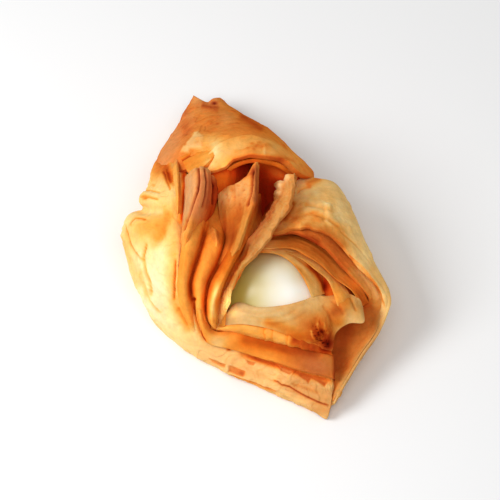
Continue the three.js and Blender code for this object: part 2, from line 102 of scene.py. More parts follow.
# Folds of the gathered pleats
SHOULDER_PLAN, SHOULDER_HEIGHT = 0.38, 0.70  # shares of the way from valley to crest at a fold's shoulder
GATHER_SKIRT = (-0.7, 0.0, -4.0)  # from the first valley line to the skirt that dives under the left flap
GATHER_TUCK = (2.5, -0.5, 0.0)  # from the last valley line to the edge that lies under the egg's leaf

# From the guide rows' origin to the frame's, by where the frame has the egg
egg_low, egg_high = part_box("egg")
SHIFT = np.array([(egg_low.x + egg_high.x) / 2 / MM - EGG_PLACE[0],
                  (egg_low.y + egg_high.y) / 2 / MM - EGG_PLACE[1], 0.0])

# Guide rows of each sheet, root first and free edge last: across and up on the guide plane, and height
HOOD = [
    [(-17.1, 46.8, 7), (-15, 45.6, 8.5), (-12.9, 44.7, 9), (-11.4, 45.6, 9), (-9.3, 45.6, 8)],
    [(-23.4, 34.5, 12), (-17.1, 37.8, 19), (-9.6, 39.9, 21), (-2.4, 40.2, 18), (3.9, 36.9, 13.5)],
    [(-27.9, 26.1, 16), (-19.5, 31.2, 27), (-10.2, 33.3, 32), (0.6, 34.5, 33), (7.5, 33.3, 27),
     (12.3, 30.3, 18)],
    [(-25.2, 21.6, 24), (-18, 24.3, 31), (-10.2, 23.4, 34), (-4.2, 27, 37), (2.4, 27.9, 39),
     (9.9, 26.7, 36), (15, 22.6, 30), (19.5, 20.6, 21)],
]
HOOD_LINING = [
    [(-13, 27, 27), (-9, 28.5, 28), (-3, 30, 30), (3, 30.6, 30), (9, 28.5, 27), (13, 25, 22)],
    [(-12.4, 19.6, 29), (-8.4, 22.5, 31), (-5.4, 25.2, 33.5), (-0.9, 27, 35.5), (3.6, 27, 36),
     (9, 25.8, 33.5), (13.5, 22.5, 27)],
]
TUCK = [
    [(-21, 28, 28.5), (-16.5, 30, 30), (-12, 31.5, 31.5)],
    [(-18.6, 23.1, 33), (-14.1, 24.9, 35), (-9.9, 29.1, 35)],
]
HOLLOW = [
    [(-12, 26.5, 31), (-5.5, 28.2, 32.5), (3, 29.2, 31), (9, 27.6, 29), (14, 24.4, 24), (18, 21.5, 19)],
    [(-12, 20.5, 32), (-6.5, 22, 31), (2, 23, 25), (9, 22, 24.5), (14, 20, 23), (18.5, 18, 21)],
    [(-11, 13, 30), (-5, 13, 25), (2, 13, 21), (7.5, 13.5, 24), (12.5, 13.5, 26), (18, 13, 25)],
    [(-10, 3, 26), (-6, 1, 23), (-1, 3, 22), (5, 5, 24), (9.5, 6.5, 26), (15, 8, 28)],
]
LEFT_FLAP = [
    [(24.2, -46, 1), (23.6, -48.4, 0.9), (22.7, -50.6, 0.8), (19.2, -48.5, 0.8), (15, -46.1, 0.8),
     (7.5, -43.1, 0.8), (-3, -39.2, 0.8), (-11.3, -34.9, 0.9), (-15.8, -32.3, 1), (-20.8, -28.9, 1.2),
     (-28.6, -20.8, 1.5), (-33.2, -11.5, 1.5), (-35.2, -4.2, 1.5), (-34.6, 0.4, 1.5), (-31.6, 5, 1.5),
     (-28.6, 11, 1.5), (-26.2, 18, 1.5), (-22.6, 25.6, 1.5), (-15.6, 39.6, 1.5)],
    [(24.4, -45, 3), (23.9, -47.6, 3.2), (23.2, -49.3, 3.2), (19.2, -47.4, 3.6), (15.2, -45.2, 3.8),
     (7.5, -42, 3.7), (-3, -38.3, 3.4), (-11.2, -34.3, 3), (-16, -31.6, 3.8), (-21.6, -26.6, 5.5),
     (-31, -17, 7), (-35.4, -6.6, 10), (-38.5, 3.9, 14), (-37.2, 9.3, 16), (-33, 14.4, 17),
     (-30.3, 20.4, 17), (-28, 26.4, 14), (-22.5, 32, 9), (-16.2, 41.6, 6)],
    [(24.6, -42.6, 4), (24.4, -44.6, 5.4), (24, -45.2, 6), (19.4, -43.2, 6.2), (15.3, -41.5, 6.2),
     (7.5, -38.8, 6.2), (-2.6, -35.2, 5.8), (-10.8, -32, 5.8), (-15.8, -28, 8.4), (-20.6, -20.4, 14.5),
     (-27.6, -10.5, 20), (-31.2, -1.5, 23), (-32.7, 6, 24.5), (-31.5, 11.4, 26), (-29.1, 16.5, 27),
     (-27.3, 22, 25), (-25.5, 27.6, 18), (-20, 33.5, 12), (-15.4, 41.8, 6.4)],
    [(25, -39.4, 4.6), (25, -40.6, 7), (24.2, -40.6, 8), (20, -39.2, 8), (15.8, -37.8, 8),
     (7.5, -35.2, 8), (-2.2, -32, 7.8), (-10.4, -29.6, 7.8), (-15, -24.5, 13), (-18.6, -16.6, 22.3),
     (-21.9, -8.4, 29), (-22.5, 0, 33), (-23.1, 7.5, 34), (-23.4, 13.5, 34.2), (-24, 18.6, 33.4),
     (-24.6, 23, 29.5), (-23, 28, 22.4), (-18, 34, 14), (-15.2, 42, 6.6)],
    [(25.2, -36.6, 5), (25.2, -37.2, 8), (24.4, -36.8, 9), (20.2, -35.6, 9.2), (16.2, -34.4, 9.2),
     (7.5, -32, 9.3), (-1.8, -29, 9.2), (-10, -27.5, 9), (-13.8, -22.5, 14), (-16.5, -14.5, 21.5),
     (-19, -7.5, 26.5), (-19, 0, 30), (-18.6, 7.5, 30.6), (-18, 13.5, 31), (-18, 18.6, 31),
     (-19, 23.2, 27.5), (-20, 28, 21), (-16.5, 34, 13.5), (-14.6, 41.6, 6.4)],
]
LEFT_LEAF = [
    [(-23.6, 31, 17), (-23.4, 27, 22.4), (-23.2, 22.6, 29.6), (-22.9, 15.5, 32), (-22.5, 8.4, 30.5)],
    [(-22.4, 31.4, 19.5), (-22.2, 27.2, 26), (-22.1, 22.8, 32.6), (-22, 15.8, 35.2), (-22, 8.6, 33.2)],
    [(-21.4, 31, 20), (-21.4, 27, 26), (-21.3, 22.4, 33), (-21.4, 15.4, 36), (-21.7, 8.4, 34)],
]
RIGHT_FLAP = [
    [(-8.5, 40.4, 1.5), (4.6, 30, 1.5), (12.2, 21.6, 1.5), (19.2, 14.4, 1.5), (26.6, 6, 1.5),
     (31.6, -3, 1.5), (35.6, -13.5, 1.5), (36.2, -23, 1.5), (33.6, -30, 1.5), (29.8, -36.6, 1.5),
     (26.4, -42.6, 1.5), (23.6, -46.8, 1.5)],
    [(-9, 42.2, 6.5), (4.6, 31.6, 11), (11, 25, 15.5), (18.6, 22, 21), (25.8, 19.8, 23), (30.9, 11.4, 23),
     (36, -1.5, 22), (41.5, -14.4, 17), (38.9, -24.2, 12.6), (33.8, -31.7, 10.2), (29.3, -39.2, 8),
     (25.2, -46.2, 5.2)],
    [(-10, 41.6, 6.8), (4, 30.5, 11.5), (8, 14, 25), (15.6, 15, 30), (22.5, 14.1, 31), (27, 7.5, 30.5),
     (33.3, -3.3, 27), (40.6, -14.4, 18.8), (38.1, -23.9, 13.6), (33, -31.4, 11), (28.6, -38.8, 8.6),
     (24.8, -45.7, 5.8)],
    [(-11, 40.5, 6.6), (-1, 12, 10), (4.8, 5.4, 29.5), (13.8, 6.3, 33), (19.5, 5.7, 33.5),
     (26.1, 2.4, 31.5), (31.5, -4.2, 28), (39.2, -13.6, 19.6), (36.8, -23.6, 10.6), (31.8, -31, 8),
     (27.6, -38.4, 6), (24.2, -45.2, 4.2)],
]
RIGHT_UNDERLAP = [
    [(5.5, 9, 27), (12.6, 10.5, 29), (17.4, 9, 29.5), (22.5, 6, 29), (28.2, 0.9, 26), (33.6, -4.5, 22.5),
     (38.6, -11.5, 18), (39.8, -17, 16), (38, -23.6, 13.9), (33, -31.1, 11.3), (28.6, -38.5, 8.9),
     (24.8, -45.4, 6)],
    [(5.5, 6.8, 28.8), (12.6, 7.9, 30.2), (17.4, 6.3, 30.5), (22.5, 3.3, 29.5), (27.9, -2.1, 26.5),
     (33, -7.3, 22.8), (37.4, -13.5, 18), (37, -18.6, 13.6), (33.6, -25, 10.2), (29.4, -31.2, 8.2),
     (26.8, -37.6, 7), (24.2, -44, 5.4)],
    [(5.5, 4.4, 30), (12.6, 5.4, 31.5), (17.4, 3.6, 31.5), (22.5, 0.6, 30), (27.6, -5.1, 27),
     (32.4, -10.2, 23), (35.6, -15.4, 17.6), (31, -18.6, 12.4), (24.6, -24.6, 8.8), (22.4, -30.4, 7.4),
     (22.2, -36.6, 6.4), (22.4, -42, 4.8)],
]
RIGHT_BAND = [
    [(6, 4.2, 26), (12.6, 4.5, 27), (18, 2.7, 26.5), (23.4, -0.9, 25), (28.4, -6.6, 23), (33, -11, 21.2),
     (35.6, -15.6, 17)],
    [(4.2, 1.8, 27.5), (12.3, 2.4, 28), (17.4, 0.3, 27.7), (22.2, -3, 26.3), (26.7, -7.8, 24),
     (31.6, -12.2, 22), (34.2, -16.6, 18.4)],
    [(2.7, 0, 29), (11.7, 0.3, 29), (16.5, -1.8, 28.6), (21, -4.5, 27.3), (25.5, -8.7, 25.3),
     (30.3, -12.3, 23), (33, -17, 19.5)],
]
OUTER_LIP = [
    [(12, 1.5, 25), (18, -0.6, 24.8), (22.8, -3.6, 23.5), (26.4, -7.5, 22), (28, -10.5, 21.8),
     (30, -13.8, 21.4), (31, -17, 18.5)],
    [(11.1, 0, 27), (16.5, -2.1, 26.8), (21, -4.8, 25.7), (24.9, -8.7, 24.4), (26.4, -11.2, 23.9),
     (28, -14.5, 23.5), (29, -18, 20)],
    [(10.5, -0.6, 28.3), (15.3, -2.7, 28.4), (19.2, -5.7, 27.4), (22.8, -8.8, 26), (24.6, -12.2, 24.6),
     (25.8, -16, 23.3), (26.4, -19.5, 19.5)],
]
EGG_LIP = [
    [(3, 1.8, 27), (9.9, 1.2, 27), (15.3, -1.2, 26), (19.4, -5, 24.3), (21.8, -9.2, 22.6),
     (22.6, -13, 21.6)],
    [(2.4, 0.3, 28), (9, -0.3, 27.8), (14.1, -2.7, 27), (18, -6.2, 25.7), (20.4, -10.2, 24.2),
     (21.2, -13.4, 23)],
    [(1.5, -0.9, 29), (7.5, -1.2, 28.8), (12, -3.6, 28), (15, -7.2, 27.2), (17.1, -11.1, 25.6),
     (18.3, -14.1, 24)],
]
POCKET_BACK = [
    [(22, -6, 23.5), (26, -8, 22.5), (29.5, -10.5, 20.5), (32.5, -13.5, 17)],
    [(22, -12, 22.5), (25.5, -13.5, 22), (28.5, -15.5, 20), (31.5, -18, 15.5)],
    [(23, -20, 15), (26, -20.5, 14.5), (28.5, -21, 13), (30, -22, 11)],
]
LID = [
    [(-9.9, -23.4, 14), (-4.2, -22.2, 18), (2.4, -22.8, 19), (9, -24.6, 18.5), (16.5, -27.9, 17),
     (24, -30.6, 14), (25.6, -24.9, 16.5), (29.5, -21.9, 18), (34, -21.6, 19), (33.8, -17, 20)],
    [(-9.6, -22.8, 16), (-4.2, -18.9, 21), (2.4, -19.8, 21.5), (9.6, -20.4, 21.5), (15.9, -21.6, 21),
     (21.4, -22.5, 20.5), (24, -17.8, 22), (28, -16.8, 22.5), (31, -15.8, 22), (32.6, -14.6, 21)],
    [(-9.3, -22.2, 18), (-4.2, -15.9, 22), (2.4, -17.1, 22.5), (9.9, -16.5, 23.6), (15, -15.3, 24),
     (18.3, -14.1, 24), (20.6, -13.4, 23.6), (23, -13.6, 23), (26, -13.2, 22.4), (29, -12.6, 21.6)],
]
CRIMP = [
    [(-10.2, -24.3, 13.6), (-3, -24.6, 15.8), (4.5, -26.4, 16.2), (12, -28.5, 15.6), (19.5, -30.3, 14.6),
     (24.9, -31.5, 13.6)],
    [(-9.9, -23.4, 15.5), (-3, -22.5, 17.8), (4.5, -24, 18.3), (12, -26.7, 17.8), (18.6, -28.8, 16.3),
     (24.3, -30.6, 14)],
    [(-9.6, -21, 15), (-3, -19.8, 17), (4.5, -21, 17.5), (12, -22.5, 17), (18.6, -24, 15.5), (24, -26, 14)],
]
UPPER_SHINGLE = [
    [(-13.5, -18, 21.5), (-12.5, -21.6, 17.5), (-9.9, -24.3, 14.5), (-3, -23.9, 14.9), (6, -26, 15),
     (15, -28.7, 14.4), (24, -30.9, 13.2), (25, -31.8, 9)],
    [(-15, -17.7, 25), (-14.1, -21.9, 20), (-11.4, -25.8, 14.5), (-3, -27.3, 13.2), (6, -29.6, 13.4),
     (15.3, -32.6, 13), (24.2, -35, 12), (25.2, -35.5, 7.5)],
    [(-16.4, -17.7, 22), (-15.6, -22.8, 16.5), (-12.9, -27.9, 10.8), (-3, -30.6, 10.3), (6, -33.3, 10.7),
     (15.6, -36.6, 10.7), (24.6, -39, 10), (25.4, -39.5, 6)],
]
FINGER = [
    [(-19.4, 21.9, 33), (-19.6, 16.5, 33), (-20.2, 10.5, 32), (-20.9, 4, 31.5), (-21.5, -3, 30)],
    [(-17.9, 23.6, 40), (-18.1, 18, 40.5), (-19, 11.4, 38.5), (-20.2, 4, 36), (-21, -3, 33)],
    [(-15.8, 24.8, 43.6), (-16, 18.9, 43.8), (-17.5, 12, 41.5), (-19.4, 4, 38.4), (-20.3, -3, 35)],
    [(-13.8, 24.9, 44.2), (-13.8, 18.9, 44), (-15.3, 11.6, 41), (-18.1, 4, 38), (-19.4, -3, 35)],
    [(-11.7, 23.4, 41.5), (-11.6, 18, 41), (-13.4, 11, 37), (-16.9, 4, 34.5), (-18.6, -3, 33)],
    [(-9.9, 20.7, 33), (-9.6, 15.9, 32), (-11.4, 10, 30), (-15.9, 4, 29), (-17.9, -3, 29)],
]
MIDDLE_RIDGE = [
    [(-13.5, 8.4, 29), (-14.1, 1.5, 29), (-16.8, -6.6, 27), (-17.7, -14.1, 23), (-16.2, -21.6, 16),
     (-13.2, -27.3, 9)],
    [(-10.2, 6.3, 37), (-10.2, 0, 36), (-13.8, -7.2, 33), (-15.3, -13.5, 29), (-14.1, -19.8, 22),
     (-11.4, -25.8, 13)],
    [(-8.1, 4.2, 28), (-8.7, 0, 28), (-11.7, -5.4, 26.5), (-13.2, -11.4, 24), (-13.2, -17.4, 20),
     (-11.7, -23.4, 14)],
]
TENT_PLEAT = [
    [(-9.6, 16.5, 31), (-9, 9.6, 30.5), (-8.8, 2.4, 30), (-11, -4.5, 29), (-13.2, -10.5, 24),
     (-13.2, -16.5, 20), (-12.4, -20, 17), (-11.7, -22.8, 15)],
    [(1.4, 26.2, 43), (1, 15.6, 42.5), (-1.2, 8.4, 41), (-3.9, 0.9, 38.5), (-7.5, -5.4, 35.5),
     (-10.2, -11.1, 32), (-11.4, -16.8, 27), (-11.1, -22.2, 20)],
    [(2.8, 23.8, 35), (2.1, 14.6, 35), (-0.3, 7.2, 35.5), (-3, -0.2, 33.5), (-6.3, -7.2, 28),
     (-8.7, -12.9, 23), (-9.9, -18, 19), (-10.2, -22.2, 16)],
]
EGG_LEAF = [
    [(7.8, 18.9, 31), (5.2, 11.4, 33), (1.2, 5.4, 33), (-3.2, -1.8, 31.4), (-6.6, -8.4, 28.4),
     (-9, -14.4, 24.8), (-9.8, -18.5, 21), (-9.9, -21.6, 15)],
    [(8.6, 20.6, 35), (7.6, 13.2, 36), (4, 6.6, 35), (-0.4, -0.8, 33.6), (-5, -7.4, 31.2),
     (-7.4, -13.2, 28), (-8, -17.6, 24), (-9.7, -21.9, 17)],
    [(13.4, 23, 40.6), (12.9, 16, 39.5), (9.2, 7.6, 37), (3.6, 0.9, 35), (-2.7, -5.7, 32.5),
     (-5.1, -11.4, 30), (-5.4, -15.9, 26), (-9.3, -22.2, 18)],
]

# Valley and crest lines of the gathered pleats in turn, left to right, each from the back to the knot
GATHER_LINES = [
    [(-19.2, 17, 31), (-19.9, 10, 31.5), (-20.7, 3, 32.4), (-21.6, -4, 30.6), (-22, -10, 26.6),
     (-21.2, -16, 20), (-19.2, -21, 13.8), (-16.4, -27, 8)],
    [(-14.7, 17, 36), (-16.3, 10, 36.5), (-18, 3, 37.2), (-19.3, -4, 35), (-20, -10, 31.2),
     (-19.4, -16, 25), (-17.8, -21, 17.8), (-15.2, -27, 8.5)],
    [(-11.4, 17, 30), (-12.6, 10, 31), (-14.2, 3, 32.6), (-16.2, -4, 31.6), (-17.8, -10, 28.4),
     (-16.9, -16, 22.8), (-16.1, -21, 15.8), (-14.4, -27, 8)],
    [(-9.9, 17, 28.5), (-10.5, 10, 30.5), (-10.6, 3, 35), (-13, -4, 33.5), (-15, -10, 31),
     (-15, -16, 26.5), (-13.8, -21, 19.6), (-12, -25.5, 12.4)],
    [(-8.7, 17, 27), (-8.2, 10, 28), (-7, 3, 30.4), (-9.2, -4, 30), (-12.3, -10, 27.6),
     (-13.3, -16, 23.6), (-12.7, -21, 17.6), (-10.6, -24.2, 12.5)],
    [(-1.5, 17, 27), (-2.1, 10, 32), (-2.8, 3, 36.4), (-5.8, -4, 36), (-8.9, -10, 33.2), (-11.1, -16, 28),
     (-11.3, -21, 22), (-10.2, -23.6, 17)],
    [(5, 17, 16.5), (3, 10, 22.5), (0.2, 3, 28.6), (-4.3, -4, 30.4), (-7.2, -10, 28.2), (-9.1, -16, 24.5),
     (-9.8, -21, 18.6), (-9.9, -23.7, 15)],
]

# Plan of the parcel, and the mounds of dough on it: place, reach across and along, height
BASE_PLAN = [
    (-16, 51), (-8, 49.5), (5, 36), (14, 25), (22, 14), (29, 4), (34, -8), (37.5, -20), (37, -30),
    (33, -41), (26.4, -52.6), (21.8, -59.8), (12, -55.4), (0, -49.5), (-12, -43.5), (-22, -35.5),
    (-30, -26), (-34.5, -14), (-36, -4), (-33, 7), (-29, 16), (-23, 33),
]
MOUNDS = [
    (-24, -14, 7, 20, 20), (21, -3, 9, 11, 24), (-7, 34, 18, 13, 12), (3, 11, 13, 13, 17),
    (8, -26, 24, 16, 10),
]

# Section of a bottom sheet from below round its rim: share of the way from the heart, and of its thickness
BASE_PROFILE = np.array([
    (0.3, 0), (0.7, 0), (0.93, 0), (0.985, 0), (0.995, 0.12), (1.0, 0.35),
    (1.0, 0.65), (0.995, 0.88), (0.985, 1), (0.93, 1), (0.7, 1), (0.3, 1)])

# Browning of the crust from raw cream to burnt, as screen colours; the dark red steps also paint shade
BAKE_STEPS = np.array([0.0, 0.15, 0.30, 0.45, 0.60, 0.72, 0.84, 0.93, 1.0])
BAKE_TONES = np.array([
    (251, 233, 190), (248, 216, 148), (245, 190, 106), (241, 155, 62), (228, 116, 32), (200, 84, 22),
    (168, 52, 12), (118, 20, 3), (46, 8, 5)])
ROSE_TONES = np.array([
    (246, 218, 182), (240, 198, 155), (232, 176, 128), (220, 148, 98), (204, 122, 80), (180, 96, 62),
    (142, 64, 42), (98, 30, 20), (46, 12, 10)])

# Odd multipliers that scramble the number of a noise cell, and the mask that keeps it to 32 bits
CELL_KEYS = np.array([374761393, 668265263, 1442695041])
SEED_KEY, MIX_KEY = 974634769, 1274126177
WORD, HALF_WORD = 0xFFFFFFFF, 0xFFFF


def to_linear(tone):
    """Screen colour from 0 to 255 to linear light, by the sRGB curve."""
    share = np.asarray(tone, float) / 255
    return np.where(share <= 0.04045, share / 12.92, ((share + 0.055) / 1.055) ** 2.4)


def crust_tone(bake, rose, painted_shade):
    """Colour of the crust: the browning steps read off at bake, drawn towards the rosy steps, then darkened
    by painted_shade, which paints light where it is negative.
    """
    bake = np.clip(bake, 0, 1)
    rose = np.clip(rose, 0, 1)[..., None]
    plain = np.stack([np.interp(bake, BAKE_STEPS, BAKE_TONES[:, k]) for k in range(3)], -1)
    rosy = np.stack([np.interp(bake, BAKE_STEPS, ROSE_TONES[:, k]) for k in range(3)], -1)
    return to_linear(plain * (1 - rose) + rosy * rose) * (1 - painted_shade)[..., None]


def smooth(value, low, high):
    """0 at low, 1 at high and an S-curve between."""
    share = np.clip((value - low) / (high - low), 0, 1)
    return share * share * (3 - 2 * share)


def wool(place, size, seed):
    """Soft noise from -1 to 1: random values on a lattice of that size, joined by S-curves on each axis."""
    spot = np.asarray(place, float) / size
    cell = np.floor(spot).astype(np.int64)
    part = spot - cell
    part = part * part * (3 - 2 * part)
    total = np.zeros(spot.shape[:-1])
    for corner in np.ndindex(2, 2, 2):
        key = ((cell + corner) * CELL_KEYS).sum(-1)
        key = (key + seed * SEED_KEY) & WORD
        key = ((key ^ (key >> 13)) * MIX_KEY) & WORD
        value = ((key ^ (key >> 16)) & HALF_WORD) / (HALF_WORD / 2) - 1
        total += value * np.where(corner, part, 1 - part).prod(-1)
    return total


def crumple(place, size, seed, octaves=3):
    """Sum of soft noises, each half the size and half the strength of the one before."""
    return sum(wool(place, size / 2 ** k, seed + k) / 2 ** k for k in range(octaves))


def spline_weights(count, share):
    """Weights of count points for a uniform Catmull-Rom curve at shares 0 to 1, with mirrored ends."""
    place = np.clip(share, 0, 1) * (count - 1)
    first = np.clip(np.floor(place).astype(int), 0, count - 2)
    f = place - first
    parts = np.stack([-f / 2 + f ** 2 - f ** 3 / 2, 1 - 2.5 * f ** 2 + 1.5 * f ** 3,
                      f / 2 + 2 * f ** 2 - 1.5 * f ** 3, (f ** 3 - f ** 2) / 2])
    wide = np.zeros((len(f), count + 2))
    rows = np.arange(len(f))
    for k in range(4):
        wide[rows, first + k] += parts[k]
    weights = wide[:, 1:-1].copy()
    weights[:, 0] += 2 * wide[:, 0]
    weights[:, 1] -= wide[:, 0]
    weights[:, -1] += 2 * wide[:, -1]
    weights[:, -2] -= wide[:, -1]
    return weights


def linear_weights(count, share):
    """Weights of count points for straight runs between them."""
    place = np.clip(share, 0, 1) * (count - 1)
    first = np.clip(np.floor(place).astype(int), 0, count - 2)
    weights = np.zeros((len(place), count))
    rows = np.arange(len(place))
    weights[rows, first] = 1 - (place - first)
    weights[rows, first + 1] += place - first
    return weights


def from_sight(guide):
    """Place of points given across and up on the plane square to the sight line, and by height."""
    across, up, height = guide[..., 0], guide[..., 1], guide[..., 2]
    away = (up - height * math.cos(SIGHT)) / math.sin(SIGHT)
    return np.stack([across, away, height], -1)


def in_picture(across, up):
    """Pixels right and down in the picture of points on the guide plane."""
    return CENTRE + across / PIXEL, CENTRE - up / PIXEL


def path_distance(px, py, path):
    """Pixels from each point to a path of straight runs, the share along it, and the side (-1 or 1)."""
    path = np.asarray(path, float)
    start, run = path[:-1], np.diff(path, axis=0)
    reach = np.linalg.norm(run, axis=1)
    done = np.concatenate([[0], np.cumsum(reach)])
    dx = px[..., None] - start[:, 0]
    dy = py[..., None] - start[:, 1]
    along = np.clip((dx * run[:, 0] + dy * run[:, 1]) / reach ** 2, 0, 1)
    gap = np.hypot(dx - along * run[:, 0], dy - along * run[:, 1])
    nearest = gap.argmin(-1)[..., None]

    def at_nearest(values):
        return np.take_along_axis(values, nearest, -1)[..., 0]

    share = at_nearest((done[:-1] + along * reach) / done[-1])
    side = np.sign(at_nearest(run[:, 0] * dy - run[:, 1] * dx))
    return at_nearest(gap), share, side


class Sheet:
    """One baked sheet on a grid through its guide rows, with its lift off that surface, its browning and its
    painted shade.
    """

    def __init__(self, name, rows, bake, rose=0.0, painted_shade=0.0, cell=CELL, crisp=0.0, ragged=0.0,
                 seed=1, even=False):
        """Catmull-Rom curves along the rows and across them, or straight runs across by the share crisp."""
        self.name = name
        curves = [np.asarray(row, float) for row in rows]
        reach = max(np.linalg.norm(np.diff(from_sight(row), axis=0), axis=1).sum() for row in curves)
        ends = from_sight(np.array([[row[0], row[len(row) // 2], row[-1]] for row in curves]))
        width = np.linalg.norm(np.diff(ends, axis=0), axis=2).sum(0).max()
        cell = max(cell, math.sqrt(reach * width / MOST_CELLS))
        columns = BACK_STEP * max(LEAST_COLUMNS, int(reach / cell / BACK_STEP))
        stations = BACK_STEP * max(LEAST_STATIONS, int(width / cell / BACK_STEP))
        u, v = np.meshgrid(self.spread(columns, even), self.spread(stations), indexing="ij")
        long = np.stack([u * reach, np.zeros(u.shape), np.zeros(u.shape)], -1)
        v = v * (1 - ragged / width * (TEAR_MEAN + crumple(long, TEAR_SIZE, seed + TEAR_SEED)))
        bands = np.stack([spline_weights(len(row), u[:, 0]) @ row for row in curves])
        share = v.reshape(-1)
        across = (1 - crisp) * spline_weights(len(rows), share) + crisp * linear_weights(len(rows), share)
        self.guide = np.einsum("uvr,ruk->uvk", across.reshape(*u.shape, -1), bands)
        self.u = u
        self.shape()
        self.lift = np.zeros(self.px.shape)
        self.bake = np.full(self.px.shape, float(bake))
        self.rose = np.full(self.px.shape, float(rose))
        self.painted_shade = np.full(self.px.shape, float(painted_shade))

    def shape(self):
        """Places, outward directions and lengths along and across the grid, from its guide points."""
        self.px, self.py = in_picture(self.guide[..., 0], self.guide[..., 1])
        self.spot = from_sight(self.guide)
        out = np.cross(np.gradient(self.spot, axis=0), np.gradient(self.spot, axis=1))
        out /= np.maximum(np.linalg.norm(out, axis=-1, keepdims=True), TINY)
        self.turn = 1.0 if (out @ TOWARDS).mean() > 0 else -1.0
        self.out = out * self.turn
        step_u = np.linalg.norm(np.diff(self.spot, axis=0), axis=-1)
        step_v = np.linalg.norm(np.diff(self.spot, axis=1), axis=-1)
        self.along = np.concatenate([np.zeros((1, step_u.shape[1])), np.cumsum(step_u, 0)])
        self.cross = np.concatenate([np.zeros((step_v.shape[0], 1)), np.cumsum(step_v, 1)], 1)

    @staticmethod
    def spread(count, even=False):
        """Shares t from 0 to 1, even or crowded towards both ends: t - crowding sin(2 pi t) / 2 pi."""
        t = np.linspace(0, 1, count + 1)
        return t if even else t - CROWDING * np.sin(2 * np.pi * t) / (2 * np.pi)

    def nudge(self, middle, size, right=0.0, down=0.0):
        """Draws the guide points round a place aside in the picture, in pixels, by a bell of that size."""
        a, b = (self.px - middle[0]) / size[0], (self.py - middle[1]) / size[1]
        bell = np.exp(-(a * a + b * b))
        aside = np.stack([right * PIXEL * bell, -down * PIXEL * bell, np.zeros(bell.shape)], -1)
        self.guide = self.guide + aside
        self.shape()

    def round_end(self, length, drop, far=False):
        """Turns one end of the sheet away from the eye in a quarter round."""
        reach = self.along[-1] - self.along if far else self.along
        share = np.clip(reach / length, 0, 1)
        self.spot = self.spot - TOWARDS * (drop * (1 - np.sqrt(1 - (1 - share) ** 2)))[..., None]

    def sink(self, start, end, drop):
        """Lets the sheet dive away from the eye between two rows of the picture."""
        self.spot = self.spot - TOWARDS * (drop * smooth(self.py, start, end))[..., None]

    def crease(self, path, width, depth, bake=0.0, taper=0.12):
        """A groove along a path, or a ridge if depth is negative: a bell curve across, faded at its ends."""
        # bake along a groove is partly browning and partly painted shade; a negative one on a ridge is a
        # painted highlight
        gap, share, _ = path_distance(self.px, self.py, path)
        ends = smooth(share, CREASE_START, taper) * smooth(1 - share, CREASE_START, taper)
        bell = np.exp(-(gap / width) ** 2) * ends
        self.lift -= depth * bell
        self.bake += bake * bell

    def step(self, path, height, reach, bake=0.0):
        """A torn or folded edge along a path: its right side stands proud and falls back over its reach."""
        soft, foot, fade, taper = 0.8, 1.6, 6, 0.1  # pixels across the path, and a share along it
        gap, share, side = path_distance(self.px, self.py, path)
        signed = gap * side
        ends = smooth(share, 0.0, taper) * smooth(1 - share, 0.0, taper)
        self.lift += height * smooth(signed, -soft, soft) * np.exp(-np.maximum(signed, 0) / reach) * ends
        # shade: bake at the foot of the proud side is a painted shadow of the edge
        shade = np.exp(-(np.minimum(signed, 0) / foot) ** 2) * (signed < soft) * np.exp(-(gap / fade) ** 2)
        self.bake += bake * shade * ends

    def draw(self, bell, bake, rose, painted_shade, lift):
        """Draws the browning, rose and painted shade towards new values by the share bell, and raises the
        surface by lift.
        """
        if bake is not None:
            self.bake += (bake - self.bake) * bell
        if rose is not None:
            self.rose += (rose - self.rose) * bell
        if painted_shade is not None:
            self.painted_shade += (painted_shade - self.painted_shade) * bell
        self.lift += lift * bell

    def patch(self, middle, size, bake=None, rose=None, painted_shade=None, lift=0.0, turn=0.0, strength=1.0):
        """A soft oval patch, turned by degrees, drawn towards a browning and painted shade of its own or
        raised by lift.
        """
        angle = math.radians(turn)
        dx, dy = self.px - middle[0], self.py - middle[1]
        a = (dx * math.cos(angle) + dy * math.sin(angle)) / size[0]
        b = (dy * math.cos(angle) - dx * math.sin(angle)) / size[1]
        self.draw(np.exp(-(a * a + b * b)) * strength, bake, rose, painted_shade, lift)

    def stroke(self, path, width, bake=None, rose=None, painted_shade=None, lift=0.0, strength=1.0, taper=0.15):
        """A soft band along a path drawn towards a browning and painted shade of its own, or raised by lift.
        """
        gap, share, _ = path_distance(self.px, self.py, path)
        ends = smooth(share, STROKE_START, taper) * smooth(1 - share, STROKE_START, taper)
        self.draw(np.exp(-(gap / width) ** 2) * ends * strength, bake, rose, painted_shade, lift)

    def within(self, region):
        """Share of a region, 1 inside it and 0 outside; a region is its middle and its reach, in pixels."""
        if region is None:
            return np.ones(self.px.shape)
        (x, y), (wide, high) = region
        return np.exp(-(((self.px - x) / wide) ** 2 + ((self.py - y) / high) ** 2) ** 2)

    def mottle(self, size, bake, seed, rose=0.0, region=None):
        """Uneven browning: soft noise over the surface."""
        cloud = crumple(self.spot, size, seed) * self.within(region)
        self.bake += bake * cloud
        self.rose += rose * cloud

    def wrinkle(self, length, width, height, seed, bake=0.0, by_row=True):
        """Fine wrinkles that run with the rows, or across them: soft noise drawn out along them."""
        long, short = (self.along, self.cross) if by_row else (self.cross, self.along)
        place = np.stack([long / length, short / width, np.zeros(long.shape)], -1)
        wave = crumple(place, 1.0, seed, octaves=2)
        self.lift += height * wave
        self.bake -= bake * wave

    def blister(self, size, height, seed, bake=0.0, sharp=0.35, region=None):
        """Small raised blisters: the peaks of soft noise above the level sharp."""
        peak = smooth(crumple(self.spot, size, seed, octaves=2), sharp, 1.0) * self.within(region)
        self.lift += height * peak
        self.bake += bake * peak

